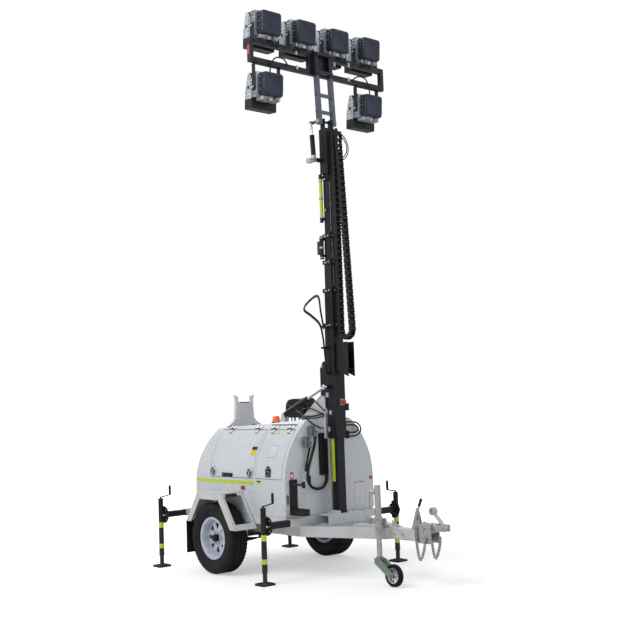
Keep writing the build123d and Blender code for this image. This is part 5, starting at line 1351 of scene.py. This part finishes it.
turned(jockey, JOCKEY, JOCKEY_AXLE, RIM, J_SILVER, 64, joined=True)
turned(jockey, JOCKEY, JOCKEY_AXLE, HUB, J_SILVER, 36)
for k in range(SPOKES):
    angle = 2 * pi * k / SPOKES
    way = Vector((cos(angle), 0, sin(angle)))
    bar(jockey, JOCKEY + way * 0.018, JOCKEY + way * 0.060, 0.0080, J_SILVER, 14, 0.0065)
make_piece("jockey_spoked_wheel", jockey, [seal_black, cast_silver], "jockey_wheel",
           soften=0.0006, replaced="jockey_wheel")

# %% [markdown]
# The coupling is bolted between the head plates. The bolts, the clamp collars on the jockey tube
# and the ring plate that carries the brake lever are galvanised like the plates. The collars
# ride on the tube, because it swings up for the road.

# %% Bolts and brackets on the drawbar
IRON_FINISHES = [galvanised, zinc_bolt]
D_GALV, D_ZINC = range(2)
BRACKET_Y = (-0.0185, -0.0240)
BRACKET_HOLE = Vector((2.056, 0.580))
BRACKET_HOLE_R = 0.022
COLLAR_LOOP = [(0.0305, -0.013), (0.0350, -0.012), (0.0350, 0.012), (0.0305, 0.013)]
front_iron = bmesh.new()
for side in (-1, 1):
    for x in (2.085, 2.165):
        for z in (0.415, 0.515):
            hex_bolt(front_iron, (x, side * 0.058, z), (0, side, 0), 0.020, D_GALV)
    for x in (2.092, 2.190):
        hex_bolt(front_iron, (x, side * 0.030, 0.557), UP, 0.014, D_ZINC)
    for x in (1.700, 1.800, 1.900):
        hex_bolt(front_iron, (x, side * 0.058, 0.447), (0, side, 0), 0.015, D_ZINC)
    for x in (0.965, 1.095):
        hex_bolt(front_iron, (x, side * 0.210, 0.585), UP, 0.018, D_ZINC)
bracket = [(1.985, 0.498), (2.050, 0.498), (2.112, 0.498), (2.114, 0.560), (2.096, 0.640), (2.078, 0.690),
           (2.052, 0.690), (2.020, 0.600)]
hole = [BRACKET_HOLE + (Vector(corner) - BRACKET_HOLE).normalized() * BRACKET_HOLE_R for corner in bracket]
front_y, back_y = BRACKET_Y
loft(front_iron, [[(x, y, z) for x, z in ring]
                  for ring, y in ((bracket, front_y), (bracket, back_y), (hole, back_y), (hole, front_y))],
     D_GALV, joined=True)
hex_bolt(front_iron, (2.070, -0.046, 0.600), (0, -1, 0), 0.017, D_ZINC)
collars = bmesh.new()
for z in (0.520, 0.600):
    turned(collars, (1.725, -0.180, z), UP, COLLAR_LOOP, D_GALV, 36, joined=True)
    bar(collars, (1.745, -0.225, z), (1.745, -0.148, z), 0.006, D_ZINC, 14)
    hex_bolt(collars, (1.745, -0.222, z), (0, -1, 0), 0.014, D_ZINC)
make_piece("jockey_tube_collars", collars, IRON_FINISHES, "jockey_tube")
make_piece("drawbar_bolts_and_bracket", front_iron, IRON_FINISHES, "chassis")

# %% [markdown]
# Where one tube meets another the welder leaves a rounded bead. A thin rope of the same paint
# along the main joints breaks the hard corner and catches the light.

# %% Weld beads
BEAD_R = 0.003
beads = bmesh.new()
for side in (-1, 1):
    runs = [((0.941, 0.400, z), (0.941, 0.455, z), 2) for z in (0.3985, 0.4955)]
    runs += [((x, 0.236, 0.4985), (x, 0.060, 0.4985), 3) for x in (0.945, 1.115)]
    runs += [((0.880, 0.030, 0.5865), (0.930, 0.030, 0.5865), 2),
             ((0.9625, 0.046, 0.5870), (1.0525, 0.046, 0.5870), 2),
             ((1.660, 0.0585, 0.400), (1.660, 0.0585, 0.494), 2)]
    for start, stop, steps in runs:
        tube(beads, [(x, side * y, z) for x, y, z in (start, stop)], BEAD_R, 0, 8, steps)
make_piece("weld_beads", beads, [chassis_white], "chassis")

# %% [markdown]
# The bounds before and after the dressing show whether the new pieces stay within the model's
# own size.

# %% Write the sizes and finish
visual_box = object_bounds()
for corner in (*cad_box, *visual_box):
    print([round(value, 4) for value in corner])
